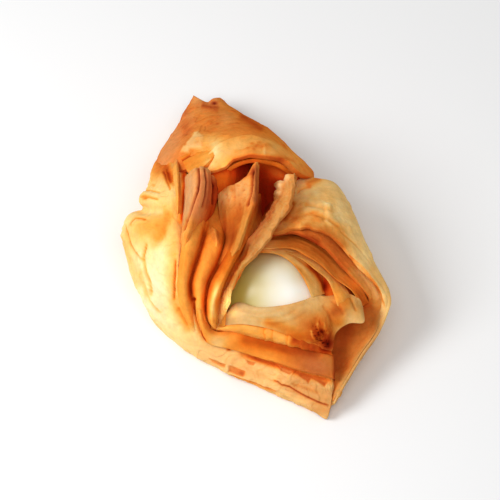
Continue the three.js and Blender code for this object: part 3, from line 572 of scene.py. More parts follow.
    def flakes(self, size, height, seed, bake=0.0, region=None):
        """Torn upper layers: soft noise cut into terraces with steep edges, browner along each edge."""
        levels, brink, line, line_width = 2.5, 0.86, 0.88, 0.07  # terraces, and shares of a terrace
        level = (crumple(self.spot, size, seed) + 2) * levels
        part = level - np.floor(level)
        terrace = np.floor(level) + smooth(part, brink, 1.0) - 2 * levels
        edge = np.exp(-((part - line) / line_width) ** 2)
        share = self.within(region)
        self.lift += height * terrace * share
        self.bake += bake * edge * share

    def tear(self, corners, bake, rose, depth=0.5, soft=0.8):
        """A window where the upper layer has come away: sunk inside a polygon whose corners run clockwise."""
        corners = np.asarray(corners, float)
        run = np.roll(corners, -1, 0) - corners
        dx, dy = self.px[..., None] - corners[:, 0], self.py[..., None] - corners[:, 1]
        inside = (run[:, 0] * dy - run[:, 1] * dx) / np.linalg.norm(run, axis=1)
        self.draw(smooth(inside.min(-1), -soft, soft), bake, rose, None, -depth)

    def rim(self, width, sides="uUvV"):
        """Quarter-round share, 0 at the named edges and 1 from width inside them."""
        gap = np.full(self.px.shape, np.inf)
        if "u" in sides:
            gap = np.minimum(gap, self.along)
        if "U" in sides:
            gap = np.minimum(gap, self.along[-1] - self.along)
        if "v" in sides:
            gap = np.minimum(gap, self.cross)
        if "V" in sides:
            gap = np.minimum(gap, self.cross[:, -1:] - self.cross)
        share = np.clip(gap / width, 0, 1)
        return np.sqrt(1 - (1 - share) ** 2)

    def thickness(self, first, last, start, end):
        """Thickness that goes from first to last by an S-curve between two shares of the sheet's length."""
        return first + (last - first) * smooth(self.u, start, end)


def node(tree, kind, place, sockets=None, **settings):
    """A shader node with its settings and the fixed values of its sockets."""
    made = tree.nodes.new(kind)
    made.location = place
    for name, value in settings.items():
        setattr(made, name, value)
    fix_sockets(made, sockets or {})
    return made


def fix_sockets(made, values):
    """Sets a node's sockets, by name or number, to fixed values."""
    for name, value in values.items():
        made.inputs[name].default_value = value


def new_material(name):
    """A material with its node tree and its shader."""
    material = bpy.data.materials.new(name)
    material.use_nodes = True
    return material, material.node_tree, material.node_tree.nodes["Principled BSDF"]


def crust_material():
    """Baked crust: its colour attribute mottled by noise, with a fine flaky bump and an uneven dull sheen."""
    material, tree, shader = new_material("baked_crust")
    tone = node(tree, "ShaderNodeAttribute", (-900, 200), attribute_name="crust")
    place = node(tree, "ShaderNodeTexCoord", (-1300, -100))
    grain = node(tree, "ShaderNodeTexNoise", (-1100, 0), {"Scale": 420, "Detail": 4, "Roughness": 0.6})
    fleck = node(tree, "ShaderNodeTexNoise", (-1100, -300), {"Scale": 1500, "Detail": 3})
    shade = node(tree, "ShaderNodeMapRange", (-900, 0),
                 {"From Min": 0.3, "From Max": 0.7, "To Min": 0.86, "To Max": 1.08})
    tint = node(tree, "ShaderNodeVectorMath", (-600, 150), operation="SCALE")
    sheen = node(tree, "ShaderNodeMapRange", (-900, -500), {"To Min": 0.5, "To Max": 0.75})
    height = node(tree, "ShaderNodeMath", (-900, -300), {1: 0.35}, operation="MULTIPLY_ADD")
    bump = node(tree, "ShaderNodeBump", (-600, -300), {"Strength": 0.55, "Distance": 0.0004})
    link = tree.links.new
    link(place.outputs["Object"], grain.inputs["Vector"])
    link(place.outputs["Object"], fleck.inputs["Vector"])
    link(grain.outputs["Fac"], shade.inputs["Value"])
    link(tone.outputs["Color"], tint.inputs[0])
    link(shade.outputs["Result"], tint.inputs["Scale"])
    link(tint.outputs["Vector"], shader.inputs["Base Color"])
    link(grain.outputs["Fac"], sheen.inputs["Value"])
    link(sheen.outputs["Result"], shader.inputs["Roughness"])
    link(fleck.outputs["Fac"], height.inputs[0])
    link(grain.outputs["Fac"], height.inputs[2])
    link(height.outputs["Value"], bump.inputs["Height"])
    link(bump.outputs["Normal"], shader.inputs["Normal"])
    fix_sockets(shader, {"Specular IOR Level": 0.0, "Subsurface Weight": 0.3,
                         "Subsurface Radius": (0.8, 0.4, 0.2), "Subsurface Scale": 0.001})
    return material


def white_material():
    """Boiled egg white: clouded by noise, tinted by its colour attribute of painted shade, moist and faintly
    translucent.
    """
    material, tree, shader = new_material("boiled_white")
    place = node(tree, "ShaderNodeTexCoord", (-1100, 0))
    cloud = node(tree, "ShaderNodeTexNoise", (-900, 0), {"Scale": 90, "Detail": 2})
    ramp = node(tree, "ShaderNodeValToRGB", (-600, 100))
    for stop, position, colour in zip(ramp.color_ramp.elements, (0.3, 0.7),
                                      ((0.86, 0.82, 0.70, 1), (0.93, 0.91, 0.84, 1))):
        stop.position = position
        stop.color = colour
    tone = node(tree, "ShaderNodeAttribute", (-600, 350), attribute_name="white")
    tint = node(tree, "ShaderNodeVectorMath", (-300, 200), operation="MULTIPLY")
    bump = node(tree, "ShaderNodeBump", (-600, -200), {"Strength": 0.08, "Distance": 0.0004})
    link = tree.links.new
    link(place.outputs["Object"], cloud.inputs["Vector"])
    link(cloud.outputs["Fac"], ramp.inputs["Fac"])
    link(ramp.outputs["Color"], tint.inputs[0])
    link(tone.outputs["Color"], tint.inputs[1])
    link(tint.outputs["Vector"], shader.inputs["Base Color"])
    link(cloud.outputs["Fac"], bump.inputs["Height"])
    link(bump.outputs["Normal"], shader.inputs["Normal"])
    fix_sockets(shader, {"Roughness": 0.28, "Subsurface Weight": 0.3,
                         "Subsurface Radius": (1.0, 0.8, 0.6), "Subsurface Scale": 0.002})
    return material


# Each finish's colour attribute, with its material, the record's slot and the node that its pieces replace
FINISHES = {
    "crust": (crust_material(), "baked_pastry", "pastry"),
    "white": (white_material(), "egg_white", "egg"),
}


def put(name, points, faces, tone, finish):
    """One finished piece from points, lists of faces and a colour for each point."""
    material, slot, replaced = FINISHES[finish]
    mesh = bpy.data.meshes.new(name)
    mesh.from_pydata(((points + SHIFT) * MM).tolist(), [], faces)
    mesh.polygons.foreach_set("use_smooth", np.ones(len(mesh.polygons), bool))
    attribute = mesh.attributes.new(finish, "FLOAT_COLOR", "POINT")
    attribute.data.foreach_set("color", np.c_[tone, np.ones(len(tone))].astype(np.float32).ravel())
    mesh.update()
    mesh.materials.append(material)
    piece = bpy.data.objects.new(name, mesh)
    bpy.context.scene.collection.objects.link(piece)
    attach(piece, "root")
    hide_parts(replaced)
    return piece


def clear_of_egg(points):
    """Points inside the half egg pushed straight out from the middle of its cut face, to a gap outside it."""
    least = 0.05  # share of the way out that any point is taken to have
    rel = points - EGG_PLACE
    x = rel[:, 0] / (EGG_LENGTH / 2 + EGG_GAP)
    slim = 1 + EGG_TAPER * np.clip(x, -1, 1)
    y = rel[:, 1] / ((EGG_WIDTH / 2 + EGG_GAP) * slim)
    z = rel[:, 2] / ((EGG_HEIGHT + EGG_GAP) * slim)
    far = np.sqrt(x * x + y * y + z * z)
    inside = (far < 1) & (rel[:, 2] > 0)
    scale = np.where(inside, 1 / np.maximum(far, least), 1.0)[:, None]
    return EGG_PLACE + rel * scale


def grid_faces(columns, stations, turn):
    """Quads of a grid of points, turned round where turn is negative."""
    index = np.arange(columns * stations).reshape(columns, stations)
    quads = np.stack([index[:-1, :-1], index[1:, :-1], index[1:, 1:], index[:-1, 1:]], -1).reshape(-1, 4)
    return quads if turn > 0 else quads[:, ::-1]


def border(columns, stations):
    """Indices round the edge of a grid of points, in order."""
    index = np.arange(columns * stations).reshape(columns, stations)
    return np.concatenate([index[:-1, 0], index[-1, :-1], index[:0:-1, -1], index[0, :0:-1]])


def backing(fine, coarse, turn):
    """Polygons of the coarse grid behind a sheet; the outer ones take in the points of the fine edge."""
    columns, stations = np.array(coarse.shape) - 1
    spread = np.repeat(np.repeat(coarse, BACK_STEP, 0), BACK_STEP, 1)[:fine.shape[0], :fine.shape[1]]
    for edge in (np.s_[0], np.s_[-1], np.s_[:, 0], np.s_[:, -1]):
        spread[edge] = fine[edge]
    steps = range(BACK_STEP)
    walk = ([(k, 0) for k in steps] + [(BACK_STEP, k) for k in steps]
            + [(BACK_STEP - k, BACK_STEP) for k in steps] + [(0, BACK_STEP - k) for k in steps])
    cells = np.stack([spread[x::BACK_STEP, y::BACK_STEP][:columns, :stations] for x, y in walk], -1)
    outer = np.ones((columns, stations), bool)
    outer[1:-1, 1:-1] = False
    way = -1 if turn > 0 else 1
    rim = [list(dict.fromkeys(cell))[::way] for cell in cells[outer].tolist()]
    return cells[~outer][:, ::BACK_STEP][:, ::way].tolist() + rim


def put_crust(sheet, points, faces, behind, back_bake):
    """A sheet's piece: its back takes the browning and painted shade of the face at the points behind, and a
    little more browning.
    """
    browning_and_shade = [np.concatenate([value.reshape(-1), value[behind].reshape(-1)])
                for value in (sheet.bake, sheet.rose, sheet.painted_shade)]
    browning_and_shade[0][sheet.px.size:] += back_bake
    put(sheet.name, clear_of_egg(points), faces, crust_tone(*browning_and_shade), "crust")


def bake_leaf(sheet, thick, sides="uUvV", edge_bake=0.0):
    """Closes a sheet to a thickness behind its surface, with a round rim that both faces share."""
    columns, stations = sheet.px.shape
    edge = sheet.rim(thick * RIM_SHARE)
    sheet.bake += edge_bake * (1 - sheet.rim(RIM_BAKE_WIDTH, sides))
    surface = sheet.spot + sheet.out * sheet.lift[..., None] - TOWARDS * (RIM_DROOP * (1 - edge))[..., None]
    inner = np.s_[BACK_STEP:-1:BACK_STEP, BACK_STEP:-1:BACK_STEP]
    top = surface.reshape(-1, 3)
    low = (surface - sheet.out * (thick * edge)[..., None])[inner].reshape(-1, 3)
    points = np.concatenate([top, low])
    points[:, 2] = np.maximum(points[:, 2], LEAST_HEIGHT)
    fine = np.arange(len(top)).reshape(columns, stations)
    coarse = fine[::BACK_STEP, ::BACK_STEP].copy()
    coarse[1:-1, 1:-1] = len(top) + np.arange(len(low)).reshape(coarse.shape[0] - 2, -1)
    faces = grid_faces(columns, stations, sheet.turn).tolist() + backing(fine, coarse, sheet.turn)
    put_crust(sheet, points, faces, inner, LEAF_BACK_BAKE)


def bake_fold(sheet, depth, sides="", round_edge=0.8, down=False):
    """Closes a sheet to a solid: its surface carried back along the sight line, or down, with round rims."""
    columns, stations = sheet.px.shape
    surface = sheet.spot + sheet.out * sheet.lift[..., None]
    if sides:
        surface = surface - TOWARDS * (round_edge * (1 - sheet.rim(round_edge, sides)))[..., None]
    every = np.s_[::BACK_STEP, ::BACK_STEP]
    behind = surface[every]
    course = np.array([0.0, 0.0, -1.0]) if down else -TOWARDS
    floor_height = np.minimum(BASE_THICK / 2, behind[..., 2] - LEAST_DEPTH)
    length = np.minimum(depth, (floor_height - behind[..., 2]) / course[2])
    behind = behind + course * length[..., None]
    top = surface.reshape(-1, 3)
    ring = border(columns, stations)
    low_ring = len(top) + border(*behind.shape[:2])
    skirt = np.stack([ring[::BACK_STEP], low_ring, np.roll(low_ring, -1), np.roll(ring[::BACK_STEP], -1)]
                     + [ring[k::BACK_STEP] for k in range(BACK_STEP - 1, 0, -1)], -1)
    if sheet.turn < 0:
        skirt = skirt[:, ::-1]
    faces = (grid_faces(columns, stations, sheet.turn).tolist()
             + (grid_faces(*behind.shape[:2], -sheet.turn) + len(top)).tolist() + skirt.tolist())
    put_crust(sheet, np.concatenate([top, behind.reshape(-1, 3)]), faces, every, FOLD_BACK_BAKE)


def lay_half_egg():
    """Half an egg, cut face down: an ellipsoid over a grid of longitude and latitude, slimmer at one end."""
    round_count, ring_count = 128, 47
    turn = np.linspace(0, 2 * np.pi, round_count, endpoint=False)
    rise = np.linspace(0, np.pi / 2, ring_count, endpoint=False)
    t, r = np.meshgrid(turn, rise, indexing="ij")
    x = np.cos(t) * np.cos(r)
    slim = 1 + EGG_TAPER * x
    dome = np.stack([x * EGG_LENGTH / 2, np.sin(t) * np.cos(r) * EGG_WIDTH / 2 * slim,
                     np.sin(r) * EGG_HEIGHT * slim], -1) + EGG_PLACE
    points = np.concatenate([dome.reshape(-1, 3), [EGG_PLACE + (0, 0, EGG_HEIGHT), EGG_PLACE]])
    index = np.arange(round_count * ring_count).reshape(round_count, ring_count)
    after = np.roll(index, -1, 0)
    quads = np.stack([index[:, :-1], after[:, :-1], after[:, 1:], index[:, 1:]], -1).reshape(-1, 4)
    peak, middle = len(points) - 2, len(points) - 1
    over = np.stack([index[:, -1], after[:, -1], np.full(round_count, peak)], -1)
    below = np.stack([after[:, 0], index[:, 0], np.full(round_count, middle)], -1)

    # Painted shade on the white: olive beside the leaf, and the lip's shadow along its upper edge
    shade = smooth(points[:, 0], EGG_SHADE_END, EGG_SHADE_START)[:, None]
    white = (1 - shade) + shade * EGG_SHADE
    up = points[:, 1] * math.sin(SIGHT) + points[:, 2] * math.cos(SIGHT)
    lip = [in_picture(across, lip_up) for across, lip_up, _ in EGG_LIP[-1][:LIP_SHADE_POINTS]]
    gap, _, _ = path_distance(*in_picture(points[:, 0], up), lip)
    white *= 1 - np.exp(-(gap / LIP_SHADE_REACH) ** 2)[:, None] * (1 - LIP_SHADE)

    faces = quads.tolist() + over.tolist() + below.tolist()
    piece = put("half_egg", points, faces, white, "white")
    piece.data.polygons.foreach_set("use_smooth", np.arange(len(faces)) < len(quads) + len(over))
    piece.data.update()


def closed_plan(count):
    """Plan of the parcel: a closed centripetal Catmull-Rom curve through its points, evenly divided."""
    steps = 24  # to a span between two points
    knots = np.asarray(BASE_PLAN, float)
    before, after, beyond = np.roll(knots, 1, 0), np.roll(knots, -1, 0), np.roll(knots, -2, 0)
    d0, d1, d2 = (np.linalg.norm(b - a, axis=1)[:, None] ** 0.5
                  for a, b in ((before, knots), (knots, after), (after, beyond)))
    lead = ((knots - before) / d0 - (after - before) / (d0 + d1) + (after - knots) / d1) * d1
    tail = ((after - knots) / d1 - (beyond - knots) / (d1 + d2) + (beyond - after) / d2) * d1
    f = np.linspace(0, 1, steps, endpoint=False)[None, :, None]
    curve = ((2 * f ** 3 - 3 * f ** 2 + 1) * knots[:, None] + (f ** 3 - 2 * f ** 2 + f) * lead[:, None]
             + (3 * f ** 2 - 2 * f ** 3) * after[:, None] + (f ** 3 - f ** 2) * tail[:, None]).reshape(-1, 2)
    ring = np.concatenate([curve, curve[:1]])
    done = np.concatenate([[0], np.cumsum(np.linalg.norm(np.diff(ring, axis=0), axis=1))])
    want = np.linspace(0, done[-1], count, endpoint=False)
    return np.stack([np.interp(want, done, ring[:, k]) for k in range(2)], -1)


def ring_body(name, rings, bake, rose=0.0):
    """A closed body from rings of points, first and last drawn to their middles."""
    levels, count = rings.shape[:2]
    points = np.concatenate([rings.reshape(-1, 3), rings[:1].mean(1), rings[-1:].mean(1)])
    index = np.arange(levels * count).reshape(levels, count)
    after = np.roll(index, -1, 1)
    quads = np.stack([index[:-1], after[:-1], after[1:], index[1:]], -1).reshape(-1, 4)
    first = np.stack([after[0], index[0], np.full(count, levels * count)], -1)
    last = np.stack([index[-1], after[-1], np.full(count, levels * count + 1)], -1)
    faces = quads.tolist() + first.tolist() + last.tolist()
    bake = np.concatenate([bake.reshape(-1), [bake[0].mean(), bake[-1].mean()]])
    tone = crust_tone(bake, np.full(len(bake), rose), np.zeros(len(bake)))
    put(name, clear_of_egg(points), faces, tone, "crust")


def lay_bottom_sheets():
    """Flat sheets with the parcel's plan, each smaller than the one below, with ragged round rims."""
    count, bite = 420, 0.25  # points round a sheet, and how far sheets sink into one another
    largest, smaller, ragged_share = 0.980, 0.012, 0.010  # of the plan's width
    ragged_size, ragged_seed = 9.0, 40
    wave_size, wave_seed, wave_slice, wave_height = 14.0, 44, 3.0, 0.35
    pale, browner, left, right = 0.14, 0.2, -30, 0  # browning at the left, and what it gains to the right
    every_other, uneven, rosy = 0.05, 0.07, 0.3
    plan = closed_plan(count)
    thick = BASE_THICK / BASE_LEAVES
    share, height = BASE_PROFILE.T[..., None]
    for k in range(BASE_LEAVES):
        low = max(k * thick - bite, 0.0)
        high = (k + 1) * thick + (bite if k + 1 < BASE_LEAVES else 0)
        ragged = crumple(np.c_[plan, np.full(count, ragged_size * k)], ragged_size, ragged_seed + k)
        wave = wave_height * crumple(np.c_[plan, np.full(count, wave_slice)], wave_size, wave_seed) * (k > 0)
        inset = largest - smaller * k + ragged_share * ragged
        flat = HEART + (plan - HEART) * (share * inset)[..., None]
        rise = low + (high - low) * height + wave * share ** 4
        bake = pale + browner * smooth(plan[:, 0], left, right) + every_other * (k % 2) + uneven * ragged
        ring_body("bottom_sheet_%d" % (k + 1), np.concatenate([flat, rise[..., None]], -1),
                  np.tile(bake, (len(BASE_PROFILE), 1)), rosy)


def lay_dough_bed():
    """Soft dough under the folds: the parcel's plan drawn in ring by ring and raised in mounds."""
    # the bed's dark red-brown, at bake 0.8, is painted shade for the hollows it shows in
    count, bake = 240, 0.8
    width, foot, brim, swell = 0.93, 0.6, 4, 2.0  # share of the plan, and heights
    room, egg_seat = 2, EGG_PLACE[2] - 0.3  # free round the egg, and the height under it
    reach = np.concatenate([[1.0, 0.99], np.linspace(0.96, 0.02, 48)])[:, None]
    flat = HEART + (closed_plan(count) - HEART) * width * reach[..., None]
    x, y = flat[..., 0], flat[..., 1]
    rise = swell + sum(height * np.exp(-((x - mound_x) / across) ** 2 - ((y - mound_y) / along) ** 2)
                       for mound_x, mound_y, across, along, height in MOUNDS)
    high = brim + rise * (1 - reach ** 6)
    half_long, half_wide = EGG_LENGTH / 2 + room, EGG_WIDTH / 2 + room
    under = np.hypot((x - EGG_PLACE[0]) / half_long, (y - EGG_PLACE[1]) / half_wide)
    high = np.where(under < 1, np.minimum(high, egg_seat), high)
    rings = np.concatenate([flat, high[..., None]], -1)
    floor_ring = np.c_[flat[0], np.full(count, foot)]
    rings = np.concatenate([floor_ring[None], rings])
    ring_body("dough_bed", rings, np.full(rings.shape[:2], bake))


def lay_hood_fill():
    """The layers under the hood's back: its first rows, drawn in, lowered and carried down to the base."""
    rows = []
    for row, inward in zip(HOOD, FILL_INWARD):
        across, up, height = np.array(row, float).T
        middle = across.mean()
        rows.append(np.c_[middle + (across - middle) * FILL_WIDTH, up - inward, height - FILL_BELOW])
    bake_fold(Sheet("hood_fill", rows, bake=0.42, rose=0.2), depth=30, down=True)


def lay_hood():
    """The blown-up far corner, from its root to the collar and the free rim over the hollow."""
    hood = Sheet("hood", HOOD, bake=0.56, rose=0.2, painted_shade=-0.03, ragged=0.5, seed=11)
    hood.nudge(middle=(220, 98), size=(9, 8), right=1, down=-2)
    hood.nudge(middle=(265, 126), size=(30, 14), right=1.5, down=-1.5)
    hood.nudge(middle=(166, 146), size=(12, 22), right=-3)
    hood.nudge(middle=(307, 163), size=(15, 12), right=3, down=-1.5)
    hood.nudge(middle=(311, 172), size=(7, 6), right=3)
    hood.mottle(size=14, bake=0.04, seed=11, rose=0.05)
    hood.stroke(path=[(190, 106), (176, 132), (163, 158), (158, 176)], width=12, bake=0.53, rose=0.7)
    # painted light (negative painted_shade) on the hood's pale upper left and along its right edge
    hood.stroke(path=[(190, 97), (206, 103), (220, 101)], width=9, bake=0.46, rose=0.6, painted_shade=-0.12)
    hood.stroke(path=[(226, 102), (262, 128), (290, 148), (312, 170)], width=6, bake=0.58, rose=0.1,
                painted_shade=-0.06)
    hood.stroke(path=[(238, 114), (250, 121), (264, 131)], width=4, bake=0.76)
    hood.stroke(path=[(200, 105), (210, 107), (219, 110)], width=3.5, bake=0.76, rose=0.35, lift=0.25)
    hood.patch(middle=(214, 102), size=(3.5, 2.5), bake=0.90)
    hood.patch(middle=(215, 125), size=(20, 12), bake=0.59, rose=0.3, strength=0.7)
    hood.patch(middle=(185, 127), size=(6, 11), bake=0.69, rose=0.4, strength=0.8)
    for corners in ([(186, 149), (187, 142), (191, 138), (201, 138), (203, 149)],
                    [(191, 139), (194, 132), (198, 131), (204, 137), (203, 142)],
                    [(181, 152), (184, 146), (190, 147), (189, 153)]):
        hood.tear(corners=corners, bake=0.32, rose=0.4, depth=-0.25, soft=1.6)
    hood.patch(middle=(208, 143), size=(9, 11), bake=0.46, strength=0.8)
    hood.patch(middle=(220, 145), size=(13, 9), bake=0.36, rose=0.1, strength=0.9)
    collar = [(200, 172), (204, 163), (210, 154), (217, 147), (228, 141), (240, 137), (252, 136),
              (268, 141), (284, 150), (300, 163)]
    below = [(215, 163), (226, 154), (240, 147), (255, 146), (268, 149), (282, 155)]
    hood.patch(middle=(226, 117), size=(9, 7), bake=0.50, rose=0.4)
    hood.stroke(path=below, width=10, bake=0.34, strength=0.95)
    hood.patch(middle=(260, 148), size=(11, 5), bake=0.54, strength=0.9)
    # painted light on the collar under the rim, where the hood and lining cast shade
    hood.patch(middle=(223, 168), size=(10, 6), bake=0.38, painted_shade=-0.35)
    hood.patch(middle=(234, 163), size=(8, 4), bake=0.54, painted_shade=-0.3)
    hood.patch(middle=(210, 166), size=(9, 9), bake=0.22, rose=0.3, painted_shade=-0.15)
    hood.patch(middle=(215, 153), size=(9, 10), bake=0.12, rose=0.15)
    hood.patch(middle=(208, 149), size=(5, 6), bake=0.44)
    # painted light on the hood's right corner
    hood.patch(middle=(292, 160), size=(18, 9), bake=0.46, turn=45, strength=0.9, painted_shade=-0.25)
    hood.step(path=collar, height=0.9, reach=26, bake=0.12)
    hood.crease(path=[(203, 167), (208, 161), (215, 153)], width=1.2, depth=0.5, bake=0.22)
    # a small ridge lightened as a painted highlight
    hood.crease(path=[(263, 147), (264, 152), (264, 159)], width=1.0, depth=-0.2, bake=-0.12)
    hood.crease(path=[(215, 172), (225, 166), (235, 160), (243, 158), (255, 157), (270, 158), (285, 160),
                      (298, 163)], width=1.6, depth=0.3, bake=0.15)
    for x, y in ((252, 145), (256, 148), (259, 144), (262, 149), (248, 150), (254, 151)):
        hood.patch(middle=(x, y), size=(1.8, 1.2), bake=0.66, strength=0.6)
    # painted light along the rim over the hollow, where it sits in shade
    hood.stroke(path=[(204, 172), (216, 172), (226, 167), (236, 161)], width=4, bake=0.38, painted_shade=-0.5)
    hood.wrinkle(length=14, width=4, height=0.12, seed=12, bake=0.01)
    hood.blister(size=5, height=0.3, seed=13, bake=0.05)
    hood.blister(size=2, height=0.14, seed=15, bake=0.04)
    hood.flakes(size=9, height=0.22, seed=16, bake=0.06, region=((200, 135), (30, 30)))
    hood.mottle(size=4, bake=0.035, seed=14)
    bake_leaf(hood, thick=2.2, edge_bake=0.06)


def lay_hood_lining():
    """The inner layer that shows as a narrow band under the hood's rim."""
    # negative painted_shade: painted light on the lining, which lies in the hood's shade
    lining = Sheet("hood_lining", HOOD_LINING, bake=0.63, painted_shade=-0.2, seed=21)
    lining.stroke(path=[(222, 176), (235, 166), (247, 161), (262, 161), (280, 165), (294, 174)], width=1.6,
                  bake=0.54)
    # more painted light at both ends of the band
    lining.patch(middle=(217, 177), size=(10, 7), bake=0.42, painted_shade=-1.2)
    lining.patch(middle=(229, 167), size=(12, 7), bake=0.52, painted_shade=-0.9)
    lining.patch(middle=(282, 165), size=(10, 5), bake=0.54, painted_shade=-0.9)
    lining.wrinkle(length=10, width=2, height=0.12, seed=22)
    bake_leaf(lining, thick=1.6)


def lay_tuck():
    """A small loose fold on the hood's left shoulder."""
    tuck = Sheet("tuck", TUCK, bake=0.50, ragged=0.4, seed=31)
    tuck.stroke(path=[(196, 165), (206, 152), (216, 144)], width=7, bake=0.48)
    tuck.patch(middle=(210, 163), size=(6, 6), bake=0.28)
    tuck.crease(path=[(180, 161), (188, 156), (196, 152)], width=1.1, depth=0.4, bake=0.25)
    tuck.wrinkle(length=9, width=2.5, height=0.15, seed=32, bake=0.04)
    bake_leaf(tuck, thick=1.6, edge_bake=0.05)


def lay_hollow():
    """The hollow under the hood, falling from the lining to the pleats; its dark red-brown is painted shade.
    """
    hollow = Sheet("hollow", HOLLOW, bake=0.90, painted_shade=-0.8, seed=41)
    # painted light (negative painted_shade) on the walls of the hollow, set against its shade
    hollow.patch(middle=(222, 180), size=(15, 15), bake=0.60, painted_shade=-0.3)
    hollow.patch(middle=(244, 170), size=(11, 9), bake=0.90, painted_shade=-2.2)
    hollow.patch(middle=(284, 170), size=(13, 9), bake=0.54, rose=0.2, painted_shade=-2.2)
    hollow.stroke(path=[(255, 162), (268, 164), (282, 169), (293, 176)], width=5, bake=0.68, painted_shade=-0.8)
    hollow.wrinkle(length=12, width=3, height=0.3, seed=42, by_row=False)
    bake_leaf(hollow, thick=1.6)


def brown_left_side(flap):
    """Browning of the left flap's swollen side, with painted shade in the valleys between its lobes."""
    flap.patch(middle=(148, 202), size=(30, 22), bake=0.24)
    flap.patch(middle=(160, 212), size=(16, 5), bake=0.36)
    flap.patch(middle=(150, 227), size=(21, 14), bake=0.43, turn=-25)
    flap.patch(middle=(155, 243), size=(6, 6), bake=0.30)
    flap.stroke(path=[(124, 230), (127, 246), (132, 262), (136, 276), (141, 290)], width=7, bake=0.27,
                rose=0.1)
    flap.patch(middle=(160, 165), size=(16, 17), bake=0.58, rose=0.25)
    flap.stroke(path=[(176, 190), (174, 220), (175, 250), (173, 278), (177, 303), (188, 325)], width=7,
                bake=0.34)
    flap.stroke(path=[(177, 292), (180, 308), (186, 322), (190, 334)], width=6, bake=0.42)
    flap.patch(middle=(129, 240), size=(7, 12), bake=0.34)
    # painted shade in the valleys between the lobes
    flap.stroke(path=[(170, 209), (166, 220), (160, 232), (154, 242)], width=5.5, bake=0.50, lift=-0.9)
    flap.stroke(path=[(138, 209), (150, 211), (163, 210)], width=5, bake=0.24, lift=-1.3)
    # the slot beside the finger: dark red painted shade, lightened by painted light (negative painted_shade)
    flap.stroke(path=[(184, 168), (184, 195), (182.5, 221)], width=3.0, bake=0.74, painted_shade=-0.9, taper=0.04)


def fold_left_side(flap):
    """Lobes, folds and cracks of the left flap's swollen side."""
    flap.patch(middle=(150, 197), size=(11, 7), lift=0.9)
    flap.patch(middle=(140, 226), size=(9, 8), lift=0.8)
    # painted shade in the slit
    flap.patch(middle=(168.5, 173), size=(4.5, 11), turn=-24, bake=0.84, rose=0.0, lift=-1.0)
    flap.crease(path=[(162, 169), (166, 180), (171, 190)], width=1.2, depth=0.35, bake=0.25)
    side_fold = [(126, 224), (129, 234), (133, 245), (139, 255), (144, 262)]
    flap.crease(path=side_fold, width=1.1, depth=0.6, bake=0.36)
    flap.step(path=side_fold[::-1], height=0.7, reach=9)
    flap.crease(path=[(148, 241), (145, 251), (144, 261), (146, 269), (150, 278), (152, 287), (153, 298)],
                width=1.1, depth=0.5, bake=0.36)
    low_fold = [(139, 272), (146, 285), (149, 294), (151, 300), (156, 307), (162, 314)]
    flap.crease(path=low_fold, width=1.1, depth=0.6, bake=0.30)
    flap.step(path=low_fold[::-1], height=0.6, reach=9)
    flap.stroke(path=[(141, 268), (145, 282), (149, 298)], width=3, bake=0.30)
    flap.crease(path=[(134, 228), (133, 223), (137, 219), (143, 219), (148, 221)], width=1.0, depth=0.4,
                bake=0.28)
    flap.crease(path=[(143, 190), (152, 191), (161, 193)], width=1.0, depth=0.4, bake=0.18)
    flap.crease(path=[(141, 197), (151, 198), (160, 200)], width=1.2, depth=0.5, bake=0.22)
    flap.patch(middle=(147, 199), size=(3, 1.8), bake=0.55, lift=-0.4)
    flap.patch(middle=(153, 185), size=(2.2, 1.6), bake=0.42)
    flap.crease(path=[(176, 258), (174, 283), (175, 301)], width=1.0, depth=0.4, bake=0.40)
    flap.crease(path=[(183, 303), (184, 309), (186, 315)], width=1.3, depth=0.4, bake=0.30)
    flap.crease(path=[(178, 306), (182, 317), (188, 327)], width=1.6, depth=0.35, bake=0.14)
    # painted shade along the foot of the middle pleat
    flap.stroke(path=[(196, 298), (197, 315), (201, 330), (208, 343)], width=3.5, bake=0.62)


def layer_left_front(flap):
    """The left flap round the front: a rosy lower layer with torn windows, and a second layer at the tip."""
    flap.stroke(path=[(176, 334), (212, 356), (240, 368), (280, 384), (330, 404), (370, 420)], width=19,
                bake=0.32, rose=0.4, taper=0.2)
    # painted shade on the right of the front layer and at its tip
    flap.stroke(path=[(285, 380), (310, 390), (330, 400), (350, 408)], width=13, bake=0.38, rose=0.45,
                painted_shade=0.12)
    flap.patch(middle=(321, 409), size=(12, 8), bake=0.40, rose=0.45, painted_shade=0.12)
    # painted shadow under the upper shingle's lower edge
    flap.stroke(path=[(238, 352), (255, 358), (285, 368), (310, 376), (336, 381)], width=3.2, bake=0.70,
                rose=0.15)
    second_layer = [(272, 380), (278, 381), (281, 384), (289, 386), (297, 391), (309, 397), (320, 402),
                    (329, 405)]
    flap.step(path=second_layer[::-1], height=0.7, reach=14, bake=0.15)
    flap.crease(path=second_layer, width=1.0, depth=0.35, bake=0.28, taper=0.05)
    # the windows are partly browner dough and partly painted shade under their torn edges
    for corners in ([(229, 365), (245, 371), (243, 377), (228, 372)],
                    [(209, 358), (218, 361), (222, 366), (213, 363)],
                    [(219, 362), (226, 364), (225, 367), (220, 366)],
                    [(246, 360), (255, 362), (253, 365), (248, 364)],
                    [(279, 366), (292, 371), (290, 374), (281, 370)]):
        flap.tear(corners=corners, bake=0.54, rose=0.45)
    flap.patch(middle=(241, 373), size=(4, 2), bake=0.68, rose=0.4, turn=20)
    for corners in ([(299, 373.5), (311, 377), (308, 382)], [(313, 377.5), (327, 381.5), (324, 386)]):
        flap.tear(corners=corners, bake=0.66, rose=0.35, soft=1.5)
    # painted shade in a small hole
    flap.patch(middle=(229, 349), size=(2.2, 1.6), bake=0.76, lift=-0.3)
    flap.crease(path=[(229, 375), (239, 379), (252, 384), (265, 388), (278, 392)], width=1.1, depth=0.5,
                bake=0.28, taper=0.08)
    flap.crease(path=[(290, 383), (304, 387), (320, 393)], width=1.5, depth=0.3, bake=0.1)
    flap.flakes(size=7, height=0.22, seed=164, bake=0.04, region=((275, 376), (62, 40)))


